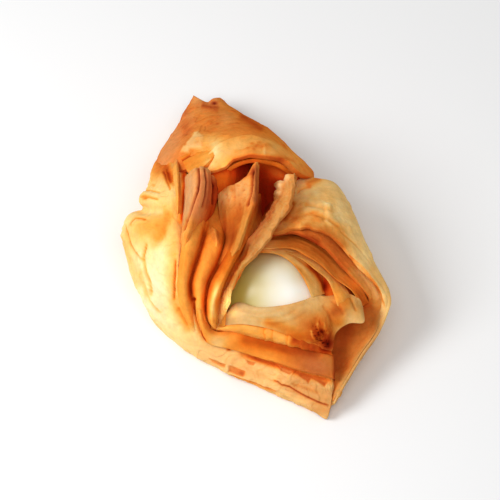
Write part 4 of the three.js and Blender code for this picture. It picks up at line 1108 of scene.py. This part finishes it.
def lay_left_flap():
    """The swollen left flap, carried on round the front to the tip, where it is thinner."""
    flap = Sheet("left_flap", LEFT_FLAP, bake=0.13, cell=0.26, seed=51, even=True)
    flap.nudge(middle=(136, 209), size=(10, 5), right=6)
    flap.nudge(middle=(143, 196), size=(8, 6), right=-2)
    flap.nudge(middle=(154, 164), size=(12, 18), right=-1.5)
    flap.nudge(middle=(123, 234), size=(5, 6), right=-2.5)
    flap.nudge(middle=(188, 353), size=(14, 7), down=-2)
    flap.mottle(size=16, bake=0.03, seed=52)
    flap.patch(middle=(155, 285), size=(16, 40), bake=0.06)
    brown_left_side(flap)
    fold_left_side(flap)
    layer_left_front(flap)
    flap.wrinkle(length=16, width=4, height=0.22, seed=53, bake=0.03)
    flap.wrinkle(length=5, width=1.5, height=0.06, seed=54, bake=0.015)
    flap.flakes(size=11, height=0.25, seed=55, bake=0.03)
    bake_leaf(flap, flap.thickness(first=0.8, last=3.2, start=0.14, end=0.28))


def lay_left_leaf():
    """The narrow leaf that stands at the left flap's inner edge."""
    leaf = Sheet("left_leaf", LEFT_LEAF, bake=0.42, rose=0.1, seed=61)
    leaf.stroke(path=[(172, 150), (175, 158), (178, 164)], width=8, bake=0.50, rose=0.4)
    # painted shade of the slot along the leaf's right edge
    leaf.stroke(path=[(179, 161), (181, 167), (184, 173)], width=1.6, bake=0.80)
    leaf.stroke(path=[(182, 172), (181, 195), (180, 216)], width=1.6, bake=0.60)
    leaf.stroke(path=[(174, 178), (174, 195), (175, 215)], width=3, bake=0.38)
    leaf.wrinkle(length=9, width=1.6, height=0.08, seed=62, bake=0.02)
    leaf.round_end(length=6, drop=5, far=True)
    bake_leaf(leaf, thick=1.6, edge_bake=0.04)


def lay_right_flap():
    """The right flap, from the far corner round the right side to the tip, thinner from halfway on."""
    flap = Sheet("right_flap", RIGHT_FLAP, bake=0.27, rose=0.15, cell=0.28, ragged=0.5, seed=71)
    flap.mottle(size=13, bake=0.05, seed=72)
    # partly browning and partly painted shade on the middle of the flap
    flap.stroke(path=[(300, 226), (318, 229), (332, 238), (345, 252)], width=8, bake=0.53, rose=0.2,
                painted_shade=0.22)
    flap.patch(middle=(316, 215), size=(17, 9), bake=0.44, rose=0.15, turn=20, strength=0.7)
    flap.step(path=[(385, 312), (384, 303), (380, 292), (375, 284), (366, 273), (360, 266), (350, 258),
                    (340, 248), (330, 239), (320, 234), (310, 231)], height=0.6, reach=12, bake=0.22)
    flap.crease(path=[(338, 229), (345, 236), (355, 245), (362, 253), (370, 264)], width=0.9, depth=0.3,
                bake=0.18)
    # painted shade on the rim that turns away from the light
    flap.stroke(path=[(384, 306), (376, 334), (361, 357), (348, 379), (337, 398), (329, 408)], width=5,
                bake=0.33, rose=0.3, painted_shade=0.25)
    # painted shade where the flap shows deep in the hollow
    flap.patch(middle=(265, 202), size=(11, 17), bake=0.92, rose=0.2)
    # painted shade along the flap's lower edge, and the egg leaf's painted shadow beside it
    flap.stroke(path=[(262, 232), (285, 231), (302, 229)], width=5, bake=0.44, rose=0.2, painted_shade=0.1)
    flap.stroke(path=[(294, 200), (290, 210), (283, 222)], width=3.5, bake=0.60, rose=0.1, painted_shade=0.3)
    # painted light on the flap's top
    flap.patch(middle=(308, 191), size=(9, 9), bake=0.27, painted_shade=-0.25)
    flap.patch(middle=(338, 229), size=(9, 6), turn=40, bake=0.46)
    # painted light on the flap's right side
    flap.patch(middle=(364, 256), size=(9, 16), turn=-30, bake=0.22, painted_shade=-0.1)
    flap.wrinkle(length=12, width=4, height=0.12, seed=73, bake=0.01)
    flap.crease(path=[(296, 206), (308, 204), (322, 207), (336, 214)], width=2.2, depth=0.4, bake=0.10)
    flap.crease(path=[(300, 216), (312, 213), (328, 219), (340, 228)], width=2.0, depth=0.35, bake=0.12)
    flap.patch(middle=(296, 219), size=(10, 7), bake=0.52, rose=0.2)
    flap.blister(size=6, height=0.4, seed=74, bake=0.04)
    flap.blister(size=3, height=0.22, seed=76, bake=0.04)
    # blister tops lightened as painted highlights
    flap.blister(size=2.6, height=0.55, seed=77, bake=-0.08, sharp=0.1, region=((314, 207), (24, 14)))
    flap.mottle(size=2.4, bake=0.09, seed=78, region=((318, 214), (30, 20)))
    flap.crease(path=[(297, 194), (298, 190), (304, 187), (312, 186)], width=1.3, depth=0.5, bake=0.12)
    # painted shade in the gap by the hood's corner
    flap.stroke(path=[(306, 186), (313, 181), (321, 177)], width=3.5, bake=0.56, rose=0.2)
    flap.mottle(size=5, bake=0.04, seed=75)
    bake_leaf(flap, flap.thickness(first=2.0, last=0.9, start=0.5, end=0.7), edge_bake=0.06)


def lay_right_underlap():
    """The layer under the right flap's free edge, which goes on as the wall of the pocket at its foot."""
    # partly browning and partly painted shade under the right flap's lip
    underlap = Sheet("right_underlap", RIGHT_UNDERLAP, bake=0.60, rose=0.25, painted_shade=0.0, ragged=0.5, seed=81)
    underlap.wrinkle(length=10, width=1.5, height=0.15, seed=82, bake=0.06)
    # painted shade in the dark crease under the flap's lip
    underlap.stroke(path=[(275, 234), (300, 236), (318, 243), (330, 253), (345, 271), (360, 285)],
                    width=1.8, bake=0.66, rose=0.2)
    # painted shade on the pocket wall, deepest in its hollow
    pocket_wall = [(374, 308), (368, 324), (354, 340), (344, 360), (338, 384)]
    underlap.stroke(path=pocket_wall, width=13, bake=0.51, rose=0.25, painted_shade=0.08, taper=0.1)
    underlap.stroke(path=[(350, 324), (342, 342), (337, 360), (335, 374)], width=8, bake=0.68, rose=0.3,
                    painted_shade=0.15, taper=0.1)
    # painted shade on the rim that turns away from the light and on the elbow above it; painted light on the
    # elbow's pale crest
    underlap.stroke(path=[(378, 297), (384, 306), (377, 332), (361, 354), (347, 376), (335, 399)],
                    width=3.8, bake=0.34, rose=0.35, painted_shade=0.34, taper=0.05)
    underlap.stroke(path=[(348, 266), (356, 274), (366, 287), (375, 298), (381, 308)], width=6, bake=0.42,
                    rose=0.15, painted_shade=0.14)
    underlap.stroke(path=[(356, 267), (366, 277), (374, 287), (380, 300)], width=4, bake=0.26, rose=0.1,
                    painted_shade=-0.25)
    # more painted shade under the lip
    underlap.stroke(path=[(285, 235), (306, 237), (322, 244)], width=3, bake=0.74, rose=0.2, painted_shade=0.2)
    underlap.patch(middle=(344, 364), size=(7, 9), bake=0.66, rose=0.25, painted_shade=0.15)
    thick = underlap.thickness(first=1.6, last=0.7, start=0.5, end=0.65)
    bake_leaf(underlap, thick, sides="uUV", edge_bake=0.05)


def lay_right_band():
    """The broad band of layers between the right flap and the two lips."""
    # painted shade on the band, with painted light at its left end
    band = Sheet("right_band", RIGHT_BAND, bake=0.60, rose=0.1, painted_shade=0.2, seed=91)
    band.patch(middle=(268, 247), size=(14, 8), bake=0.36, painted_shade=-0.35)
    band.stroke(path=[(290, 252), (305, 258), (322, 264), (345, 284)], width=2.5, bake=0.52)
    band.patch(middle=(348, 286), size=(16, 9), turn=45, bake=0.54, painted_shade=-0.05)
    band.wrinkle(length=12, width=1.6, height=0.2, seed=92, bake=0.07)
    bake_fold(band, depth=9, sides="V")


def lay_outer_lip():
    """The outer of the two lips right of the egg."""
    # painted shade over the lip, and dark painted shade in the notch at its end
    lip = Sheet("outer_lip", OUTER_LIP, bake=0.42, rose=0.15, painted_shade=0.18, seed=101)
    lip.patch(middle=(336, 294), size=(13, 14), bake=0.45, rose=0.0, painted_shade=0.0)
    lip.patch(middle=(326, 287), size=(2.6, 6), bake=0.88, turn=-25)
    lip.wrinkle(length=8, width=1.4, height=0.12, seed=102, bake=0.06)
    bake_fold(lip, depth=7, sides="V")


def lay_egg_lip():
    """The lip that lies on the egg."""
    # painted shade over the lip, painted light at its left end, and painted shade in the gap beside the outer
    # lip
    lip = Sheet("egg_lip", EGG_LIP, bake=0.38, rose=0.1, painted_shade=0.2, seed=111)
    lip.patch(middle=(266, 252), size=(11, 6), bake=0.34, painted_shade=-0.25)
    lip.stroke(path=[(306, 262), (316, 273), (322, 283), (325, 294)], width=2.2, bake=0.80)
    lip.stroke(path=[(257, 252), (280, 256), (299, 270), (309, 292)], width=1.6, bake=0.50)
    lip.wrinkle(length=8, width=1.4, height=0.12, seed=112, bake=0.06)
    bake_fold(lip, depth=7, sides="V")


def lay_pocket_back():
    """The wall behind the notch between the lips and the lid's right end, painted dark as the notch's shade.
    """
    wall = Sheet("pocket_back", POCKET_BACK, bake=0.66)
    wall.patch(middle=(324, 286), size=(5, 9), bake=0.95)
    bake_fold(wall, depth=4)


def lay_lid():
    """The lid below the egg, rippled, with the burnt spot at its right."""
    # painted shade over the lid
    lid = Sheet("lid", LID, bake=0.28, rose=0.3, painted_shade=0.18, seed=131)
    lid.mottle(size=11, bake=0.05, seed=132)
    lid.patch(middle=(335, 298), size=(14, 13), bake=0.40)
    lid.patch(middle=(345, 301), size=(8, 8), bake=0.47, rose=0.0)
    # painted light at the lid's left end, in the egg leaf's shade
    lid.patch(middle=(231, 311), size=(7, 6), bake=0.27, rose=0.1, painted_shade=-0.8)
    lid.patch(middle=(338, 322), size=(8, 6), bake=0.52, rose=0.0)
    # painted shade on the lid's middle and right
    lid.patch(middle=(300, 312), size=(16, 9), bake=0.32, painted_shade=0.27)
    lid.patch(middle=(357, 308), size=(9, 11), bake=0.38, rose=0.2, painted_shade=0.26)
    lid.stroke(path=[(262, 321), (280, 326), (305, 335)], width=6, bake=0.50, rose=0.05)
    lid.patch(middle=(298, 337), size=(18, 7), bake=0.66, rose=0.0)
    lid.patch(middle=(305, 325), size=(13, 9), bake=0.52)
    lid.patch(middle=(335, 312), size=(9, 7), bake=0.62)
    lid.patch(middle=(320, 331), size=(12, 15), bake=0.79, rose=0.0)
    lid.patch(middle=(327, 343), size=(9, 10), bake=0.98)
    # raised streaks in the burnt spot, lightened as painted highlights
    for start_x, start_y, reach, painted_highlight in ((311, 329, 13, 0.20), (317, 321, 17, 0.15), (324, 322, 12, 0.12)):
        lid.crease(path=[(start_x, start_y), (start_x + reach * 0.05, start_y + reach * 0.5),
                         (start_x + reach * 0.4, start_y + reach)], width=1.0, depth=-0.3, bake=-painted_highlight)
    lid.mottle(size=1.6, bake=0.15, seed=136, region=((320, 332), (11, 15)))
    for ripple in ([(238, 309), (255, 313), (272, 312), (286, 306)],
                   [(243, 315), (262, 319), (282, 317), (297, 309)],
                   [(254, 321), (274, 324), (293, 320), (308, 311)]):
        lid.crease(path=ripple, width=2.0, depth=0.3, bake=0.05)
    lid.crease(path=[(345, 290), (351, 299), (356, 312)], width=1.2, depth=0.3, bake=0.12)
    lid.crease(path=[(330, 300), (338, 306), (345, 316)], width=2.0, depth=0.4, bake=0.08)
    lid.crease(path=[(322, 304), (328, 312), (332, 322)], width=1.6, depth=0.3, bake=0.08)
    lid.wrinkle(length=12, width=4, height=0.22, seed=133, bake=0.03)
    lid.blister(size=4.5, height=0.25, seed=134, bake=0.05)
    lid.flakes(size=3.2, height=0.35, seed=135, bake=0.22, region=((321, 334), (12, 17)))
    bake_fold(lid, depth=30, sides="V", round_edge=0.9)


def lay_crimp():
    """The crimped edge under the lid, stepped where the layers end."""
    crimp = Sheet("crimp", CRIMP, bake=0.41, seed=141)
    crimp.patch(middle=(326, 348), size=(11, 8), bake=0.99)
    # painted light on the crimp's left end
    crimp.patch(middle=(222, 326), size=(9, 5), bake=0.34, painted_shade=-0.6)
    # painted shade where the lid overlaps the crimp
    crimp.stroke(path=[(219, 328), (226, 324), (233, 322), (240, 322), (250, 324), (264, 326), (283, 333),
                       (305, 340)], width=1.2, bake=0.70)
    for x, y, height in ((265, 326, 0.5), (273, 330, 0.25), (288, 334, 0.45), (301, 339, 0.4),
                         (311, 343, 0.3)):
        crimp.step(path=[(x + 1, y + 14), (x - 1, y + 6), (x, y - 2)], height=height, reach=10, bake=0.12)
    # dark dots of painted shade under the lid's edge
    for x, y in ((232, 322), (236, 322), (247, 323)):
        crimp.patch(middle=(x, y), size=(1.3, 1.2), bake=0.86)
    crimp.stroke(path=[(290, 338), (303, 343), (318, 350)], width=6, bake=0.78, rose=0.1)
    crimp.wrinkle(length=3, width=2.5, height=0.12, seed=142, bake=0.04)
    bake_fold(crimp, depth=9, sides="v")


def lay_upper_shingle():
    """The upper of the shingled layers, from the knot of the pleats along the lid to the right."""
    upper = Sheet("upper_shingle", UPPER_SHINGLE, bake=0.47, ragged=0.4, seed=151)
    # painted shade on the shingle's right part
    upper.patch(middle=(316, 366), size=(25, 14), bake=0.60, rose=0.6, turn=10, painted_shade=0.24)
    # painted shadow under the crimp
    upper.stroke(path=[(235, 336), (262, 342), (290, 349), (325, 356)], width=8, bake=0.71, painted_shade=0.2)
    upper.stroke(path=[(200, 308), (203, 322), (208, 332)], width=6, bake=0.46)
    upper.patch(middle=(217, 344), size=(9, 9), bake=0.27, rose=0.25)
    upper.crease(path=[(194, 305), (195, 315), (198, 327), (202, 337), (207, 343)], width=1.2, depth=0.4,
                 bake=0.3)
    # painted shade at the right end, beside the pocket
    upper.stroke(path=[(335, 350), (335, 366), (336, 385)], width=2.5, bake=0.80, rose=0.3)
    upper.wrinkle(length=16, width=2.2, height=0.16, seed=152, bake=0.04)
    upper.mottle(size=6, bake=0.04, seed=153)
    bake_fold(upper, depth=9, sides="vV", round_edge=0.7)


def shoulder(low, high):
    """A line on the side of a fold: nearer to the valley in plan and nearer to the crest in height."""
    return low + (high - low) * np.array([SHOULDER_PLAN, SHOULDER_PLAN, SHOULDER_HEIGHT])


def gather_rows():
    """Guide rows of the gathered pleats: broad round crests with narrow valleys between them."""
    lines = [np.asarray(line, float) for line in GATHER_LINES]
    rows = [lines[0] + GATHER_SKIRT]
    for low, high, after in zip(lines[0::2], lines[1::2], lines[2::2]):
        rows += [low, shoulder(low, high), high, shoulder(after, high)]
    return rows + [lines[-1], lines[-1] + GATHER_TUCK]


def lay_gathered_pleats():
    """The gathered pleats left of the egg, as one folded surface that runs down to the knot."""
    gather = Sheet("gathered_valleys", gather_rows(), bake=0.50, seed=165)
    gather.stroke(path=[(192, 222), (187, 245), (184, 270), (184, 300), (190, 320), (198, 338)], width=6,
                  bake=0.45)
    # painted light on the middle pleat's crest
    gather.stroke(path=[(216, 236), (213, 250), (207, 264), (201, 282), (200, 300), (204, 318), (211, 336)],
                  width=5, bake=0.47, painted_shade=-0.1)
    # painted shade on the upper foot of the tent pleat, painted light on its lower part
    gather.stroke(path=[(245, 235), (238, 248), (230, 262), (222, 276)], width=7, bake=0.58, rose=0.0,
                  painted_shade=0.14)
    gather.stroke(path=[(222, 280), (216, 294), (213, 308), (211, 322)], width=5, bake=0.24, rose=0.1,
                  painted_shade=-0.3, taper=0.3)
    # painted shade in the valleys between the pleats
    gather.stroke(path=[(262, 215), (252, 236), (238, 258), (226, 280), (218, 300), (215, 318)], width=3,
                  bake=0.60)
    gather.stroke(path=[(205, 225), (204, 236), (202, 246), (199, 256), (195, 266), (191, 284), (193, 302)],
                  width=3.2, bake=0.77)
    gather.stroke(path=[(193, 324), (199, 338), (205, 350)], width=8, bake=0.28, rose=0.4, taper=0.35)
    # painted shade in the notch, and painted light on the pleats' crests beside it
    gather.patch(middle=(191, 291), size=(2.5, 8), bake=0.82)
    gather.patch(middle=(202, 300), size=(4.5, 10), bake=0.46, painted_shade=-0.4)
    gather.patch(middle=(219, 248), size=(4.5, 8), bake=0.46, painted_shade=-0.5, turn=20)
    gather.patch(middle=(194, 299), size=(2.0, 2.0), bake=0.94, lift=-0.5)
    # more painted shade in the valley, and under the tent pleat
    gather.stroke(path=[(228, 240), (226, 254), (219, 267), (211, 281), (206, 300), (207, 320)], width=4.2,
                  bake=0.72)
    gather.patch(middle=(233, 236), size=(11, 17), bake=0.72, painted_shade=0.35, turn=20)
    gather.stroke(path=[(264, 224), (258, 234), (250, 246)], width=6, bake=0.48, rose=0.5)
    # painted shade where the top end sinks into the hollow
    gather.patch(middle=(264, 206), size=(9, 15), bake=0.88, rose=0.3, turn=15)
    gather.crease(path=[(184, 226), (181, 240), (178, 263), (176, 283), (177, 303), (181, 314)], width=0.9,
                  depth=0.4, bake=0.45)
    gather.crease(path=[(194, 299), (195, 315), (198, 327), (202, 337), (207, 343)], width=0.9, depth=0.5,
                  bake=0.3)
    gather.wrinkle(length=14, width=2.2, height=0.1, seed=166, bake=0.025)
    gather.mottle(size=7, bake=0.03, seed=167)
    gather.round_end(length=3.0, drop=2.5, far=True)
    bake_leaf(gather, thick=1.6)


def lay_finger():
    """The rolled finger of dough at the back of the pleats, grooved where its layers end."""
    finger = Sheet("finger", FINGER, bake=0.44, rose=0.6, seed=171)
    # painted shade on the finger's left face
    finger.stroke(path=[(190, 172), (190, 190), (187, 212), (184, 232)], width=5, bake=0.38, rose=0.8,
                  painted_shade=0.2)
    finger.stroke(path=[(203, 168), (202, 188), (197, 208), (191, 232)], width=4, bake=0.56, rose=0.75)
    finger.stroke(path=[(209, 171), (210, 190), (207, 212)], width=3.2, bake=0.66, rose=0.7)
    # the right side darker, partly browning and partly painted shade
    finger.stroke(path=[(216, 176), (217, 196), (213, 220), (205, 240)], width=5.5, bake=0.79, rose=0.35)
    finger.stroke(path=[(197, 214), (190, 232), (186, 262), (184, 290)], width=11, bake=0.45, rose=0.1,
                  taper=0.2)
    finger.stroke(path=[(214, 204), (209, 222), (202, 240)], width=5, bake=0.72, rose=0.2)
    finger.crease(path=[(198, 167), (199, 180), (198, 190), (193, 204), (189, 216), (184, 230)], width=1.1,
                  depth=1.1, bake=0.42, taper=0.02)
    finger.crease(path=[(205, 168), (207, 182), (206, 196), (203, 208)], width=0.9, depth=0.8, bake=0.30,
                  taper=0.02)
    finger.crease(path=[(212, 173), (214, 188), (213, 205)], width=0.9, depth=0.8, bake=0.25, taper=0.02)
    finger.wrinkle(length=9, width=1.2, height=0.1, seed=172, bake=0.03)
    finger.blister(size=1.6, height=0.16, seed=173, bake=0.05)
    finger.round_end(length=2.5, drop=3.5)
    finger.sink(start=236, end=256, drop=3)
    bake_fold(finger, depth=30)


def lay_middle_ridge():
    """The upper end of the middle pleat, which stands clear of the others."""
    ridge = Sheet("middle_ridge", MIDDLE_RIDGE, bake=0.49, seed=201)
    ridge.stroke(path=[(227, 238), (225, 250), (216, 266)], width=3, bake=0.66)
    # painted shade on the tip, painted light on the right flank
    ridge.patch(middle=(216, 236), size=(6, 9), bake=0.54, rose=0.2, painted_shade=0.2)
    ridge.patch(middle=(219, 246), size=(4.5, 8), bake=0.46, painted_shade=-0.5, turn=20)
    ridge.wrinkle(length=9, width=1.6, height=0.1, seed=202, bake=0.03)
    ridge.round_end(length=4.0, drop=4.0)
    ridge.sink(start=236, end=262, drop=5)
    bake_fold(ridge, depth=30)


def lay_tent_pleat():
    """The pleat that stands up like a tent in front of the hollow."""
    tent = Sheet("tent_pleat", TENT_PLEAT, bake=0.46, rose=0.15, crisp=0.15, seed=211)
    tent.nudge(middle=(244, 174), size=(9, 8), down=4)
    tent.nudge(middle=(238, 180), size=(11, 7), down=4)
    tent.nudge(middle=(248, 171), size=(5, 6), down=5)
    tent.patch(middle=(240, 192), size=(16, 16), bake=0.42, rose=0.5)
    # painted shade on the lower left face
    tent.stroke(path=[(221, 216), (224, 228), (224, 242), (214, 262), (208, 285), (207, 305)], width=8,
                bake=0.68)
    tent.patch(middle=(232, 236), size=(12, 21), bake=0.73, painted_shade=0.40, turn=20)
    tent.patch(middle=(240, 221), size=(12, 17), bake=0.64, painted_shade=0.25)
    tent.stroke(path=[(250, 210), (243, 235), (233, 255), (222, 275), (215, 290)], width=5, bake=0.42)
    # painted shade in the valley beside the egg's leaf
    tent.stroke(path=[(258, 190), (255, 215), (248, 240), (238, 258), (228, 275), (221, 290), (217, 305),
                      (215, 320)], width=4, bake=0.66)
    # painted light on the left wing, in the finger's shade
    tent.patch(middle=(226, 196), size=(7, 8), bake=0.36, rose=0.5, painted_shade=-0.8)
    # painted shade on the right rim
    tent.stroke(path=[(256, 164), (256, 185), (255, 205)], width=3.5, bake=0.66, rose=0.6, painted_shade=0.3)
    tent.stroke(path=[(221, 191), (230, 184), (240, 180), (250, 174), (255, 164)], width=1.6, bake=0.66,
                rose=0.4)
    tent.crease(path=[(254, 168), (252, 176), (251, 187), (250, 197), (247, 208)], width=1.3, depth=0.9,
                bake=0.4)
    for x, y in ((232, 190), (238, 186), (235, 197), (243, 190), (229, 200), (245, 200), (240, 204)):
        tent.patch(middle=(x, y), size=(1.3, 1.3), bake=0.62, strength=0.7, lift=-0.15)
    tent.wrinkle(length=10, width=1.8, height=0.16, seed=212, bake=0.05)
    tent.blister(size=3.5, height=0.25, seed=213)
    tent.flakes(size=7, height=0.25, seed=214, bake=0.08, region=((240, 195), (20, 22)))
    tent.sink(start=238, end=290, drop=4)
    bake_fold(tent, depth=16)


def lay_egg_leaf():
    """The leaf along the egg's left side, from its ragged free end at the back to the knot."""
    # painted shade over the whole leaf
    leaf = Sheet("egg_leaf", EGG_LEAF, bake=0.43, rose=0.4, painted_shade=0.22, ragged=0.9, seed=221)
    for place, right, down in (((288, 176), -1.5, -1.5), ((282, 180), 2, 1.5), ((278, 184), -2, -0.5),
                               ((275, 189), 2, 1)):
        leaf.nudge(middle=place, size=(2.6, 2.6), right=right, down=down)
    for place, right in (((293, 190), -1.8), ((291, 204), -3.0), ((284, 219), 2.2), ((275, 232), -1.4),
                         ((262, 248), 1.0)):
        leaf.nudge(middle=place, size=(3.5, 4.0), right=right)
    # painted shade on the leaf's lower end and front
    leaf.stroke(path=[(250, 252), (240, 268), (233, 285), (231, 303), (220, 322)], width=6, bake=0.35,
                rose=0.15, painted_shade=0.05)
    leaf.stroke(path=[(290, 180), (286, 196), (279, 213), (266, 236), (254, 252)], width=4.5, bake=0.38,
                rose=0.3, painted_shade=0.18)
    # painted light on the leaf's back and lower part, which lie in shade
    leaf.stroke(path=[(274, 197), (267, 213), (258, 228), (248, 246)], width=4, bake=0.46, rose=0.5,
                painted_shade=-0.6)
    leaf.stroke(path=[(249, 246), (238, 264), (228, 284)], width=3.0, bake=0.60, rose=0.2, painted_shade=-0.2)
    leaf.stroke(path=[(290, 175), (282, 180), (278, 187), (278, 196)], width=4.5, bake=0.26, rose=0.55,
                painted_shade=-0.2, lift=0.4)
    # strong painted light at the foot, in shade beside the egg
    leaf.patch(middle=(230, 306), size=(6, 13), bake=0.29, rose=0.1, painted_shade=-1.4)
    leaf.crease(path=[(284, 180), (281, 192), (274, 207), (266, 222)], width=2.0, depth=0.4, bake=0.12)
    leaf.step(path=[(279, 217), (282, 222), (277, 230), (271, 237)], height=0.5, reach=7, bake=0.1)
    leaf.wrinkle(length=7, width=1.5, height=0.2, seed=222, bake=0.04)
    leaf.blister(size=3, height=0.45, seed=223, bake=-0.03)
    leaf.blister(size=1.5, height=0.2, seed=225, bake=0.05)
    leaf.flakes(size=5, height=0.25, seed=224, bake=0.06)
    bake_leaf(leaf, thick=2.2)


def put_floor():
    """A wide pale disc under the puff: rings of points round its middle, in metres."""
    count, reach = 96, np.array([0.5, 1.0, 2.0, 4.0])
    turn = np.linspace(0, 2 * np.pi, count, endpoint=False)
    ring = np.stack([np.cos(turn), np.sin(turn), np.zeros(count)], -1)
    points = np.concatenate([(ring * reach[:, None, None]).reshape(-1, 3), np.zeros((1, 3))])
    index = np.arange(len(reach) * count).reshape(len(reach), -1)
    after = np.roll(index, -1, 1)
    quads = np.stack([index[:-1], index[1:], after[1:], after[:-1]], -1).reshape(-1, 4)
    caps = np.stack([index[0], after[0], np.full(count, len(points) - 1)], -1)
    mesh = bpy.data.meshes.new("floor")
    mesh.from_pydata(points.tolist(), [], quads.tolist() + caps.tolist())
    material, _, shader = new_material("pale_floor")
    fix_sockets(shader, {"Base Color": (0.92, 0.92, 0.92, 1), "Roughness": 0.9, "Specular IOR Level": 0.0})
    mesh.materials.append(material)
    piece = bpy.data.objects.new("floor", mesh)
    bpy.context.scene.collection.objects.link(piece)


def put_lamp(name, azimuth, elevation, distance, size, power):
    """A square soft light that faces the puff from that side and height; degrees, metres and watts."""
    aim = Vector((0, 0, 0.02))
    a, e = math.radians(azimuth), math.radians(elevation)
    back = Vector((math.sin(a) * math.cos(e), -math.cos(a) * math.cos(e), math.sin(e)))
    light = bpy.data.lights.new(name, "AREA")
    light.shape = "SQUARE"
    light.size = size
    light.energy = power
    thing = bpy.data.objects.new(name, light)
    thing.location = aim + back * distance
    thing.rotation_euler = (-back).to_track_quat("-Z", "Y").to_euler()
    bpy.context.scene.collection.objects.link(thing)


def light_studio():
    """White surroundings, a soft key light from the left and a broad fill light high at the front."""
    world = bpy.data.worlds.new("studio")
    bpy.context.scene.world = world
    world.use_nodes = True
    fix_sockets(world.node_tree.nodes["Background"], {"Color": (1, 1, 1, 1), "Strength": 0.45})
    put_lamp("key_light", azimuth=-68, elevation=46, distance=0.42, size=0.22, power=1.25)
    put_lamp("fill_light", azimuth=10, elevation=62, distance=1.0, size=0.6, power=2.2)
    bpy.context.scene.view_settings.view_transform = "Standard"


def put_camera():
    """A long lens on the sight line, with the guide plane's origin in the picture's middle."""
    lens, sensor, clip_end = 1200.0, 36.0, 20
    view_width, middle_height = PICTURE * PIXEL * MM, 0.022
    camera = bpy.data.cameras.new("camera")
    camera.lens = lens
    camera.sensor_width = sensor
    camera.clip_end = clip_end
    thing = bpy.data.objects.new("camera", camera)
    back = Vector(TOWARDS)
    distance = view_width * lens / sensor + middle_height * math.sin(SIGHT)
    thing.location = Vector(SHIFT * MM) + back * distance
    thing.rotation_euler = (-back).to_track_quat("-Z", "Y").to_euler()
    bpy.context.scene.collection.objects.link(thing)
    bpy.context.scene.camera = thing


# Egg and base
lay_half_egg()
lay_bottom_sheets()
lay_dough_bed()

# Back
lay_hood_fill()
lay_hood()
lay_hood_lining()
lay_tuck()
lay_hollow()

# Left
lay_left_flap()
lay_left_leaf()

# Right
lay_right_flap()
lay_right_underlap()
lay_right_band()
lay_outer_lip()
lay_egg_lip()
lay_pocket_back()

# Front
lay_lid()
lay_crimp()
lay_upper_shingle()

# Pleats
lay_gathered_pleats()
lay_finger()
lay_middle_ridge()
lay_tent_pleat()
lay_egg_leaf()

put_floor()
light_studio()
put_camera()
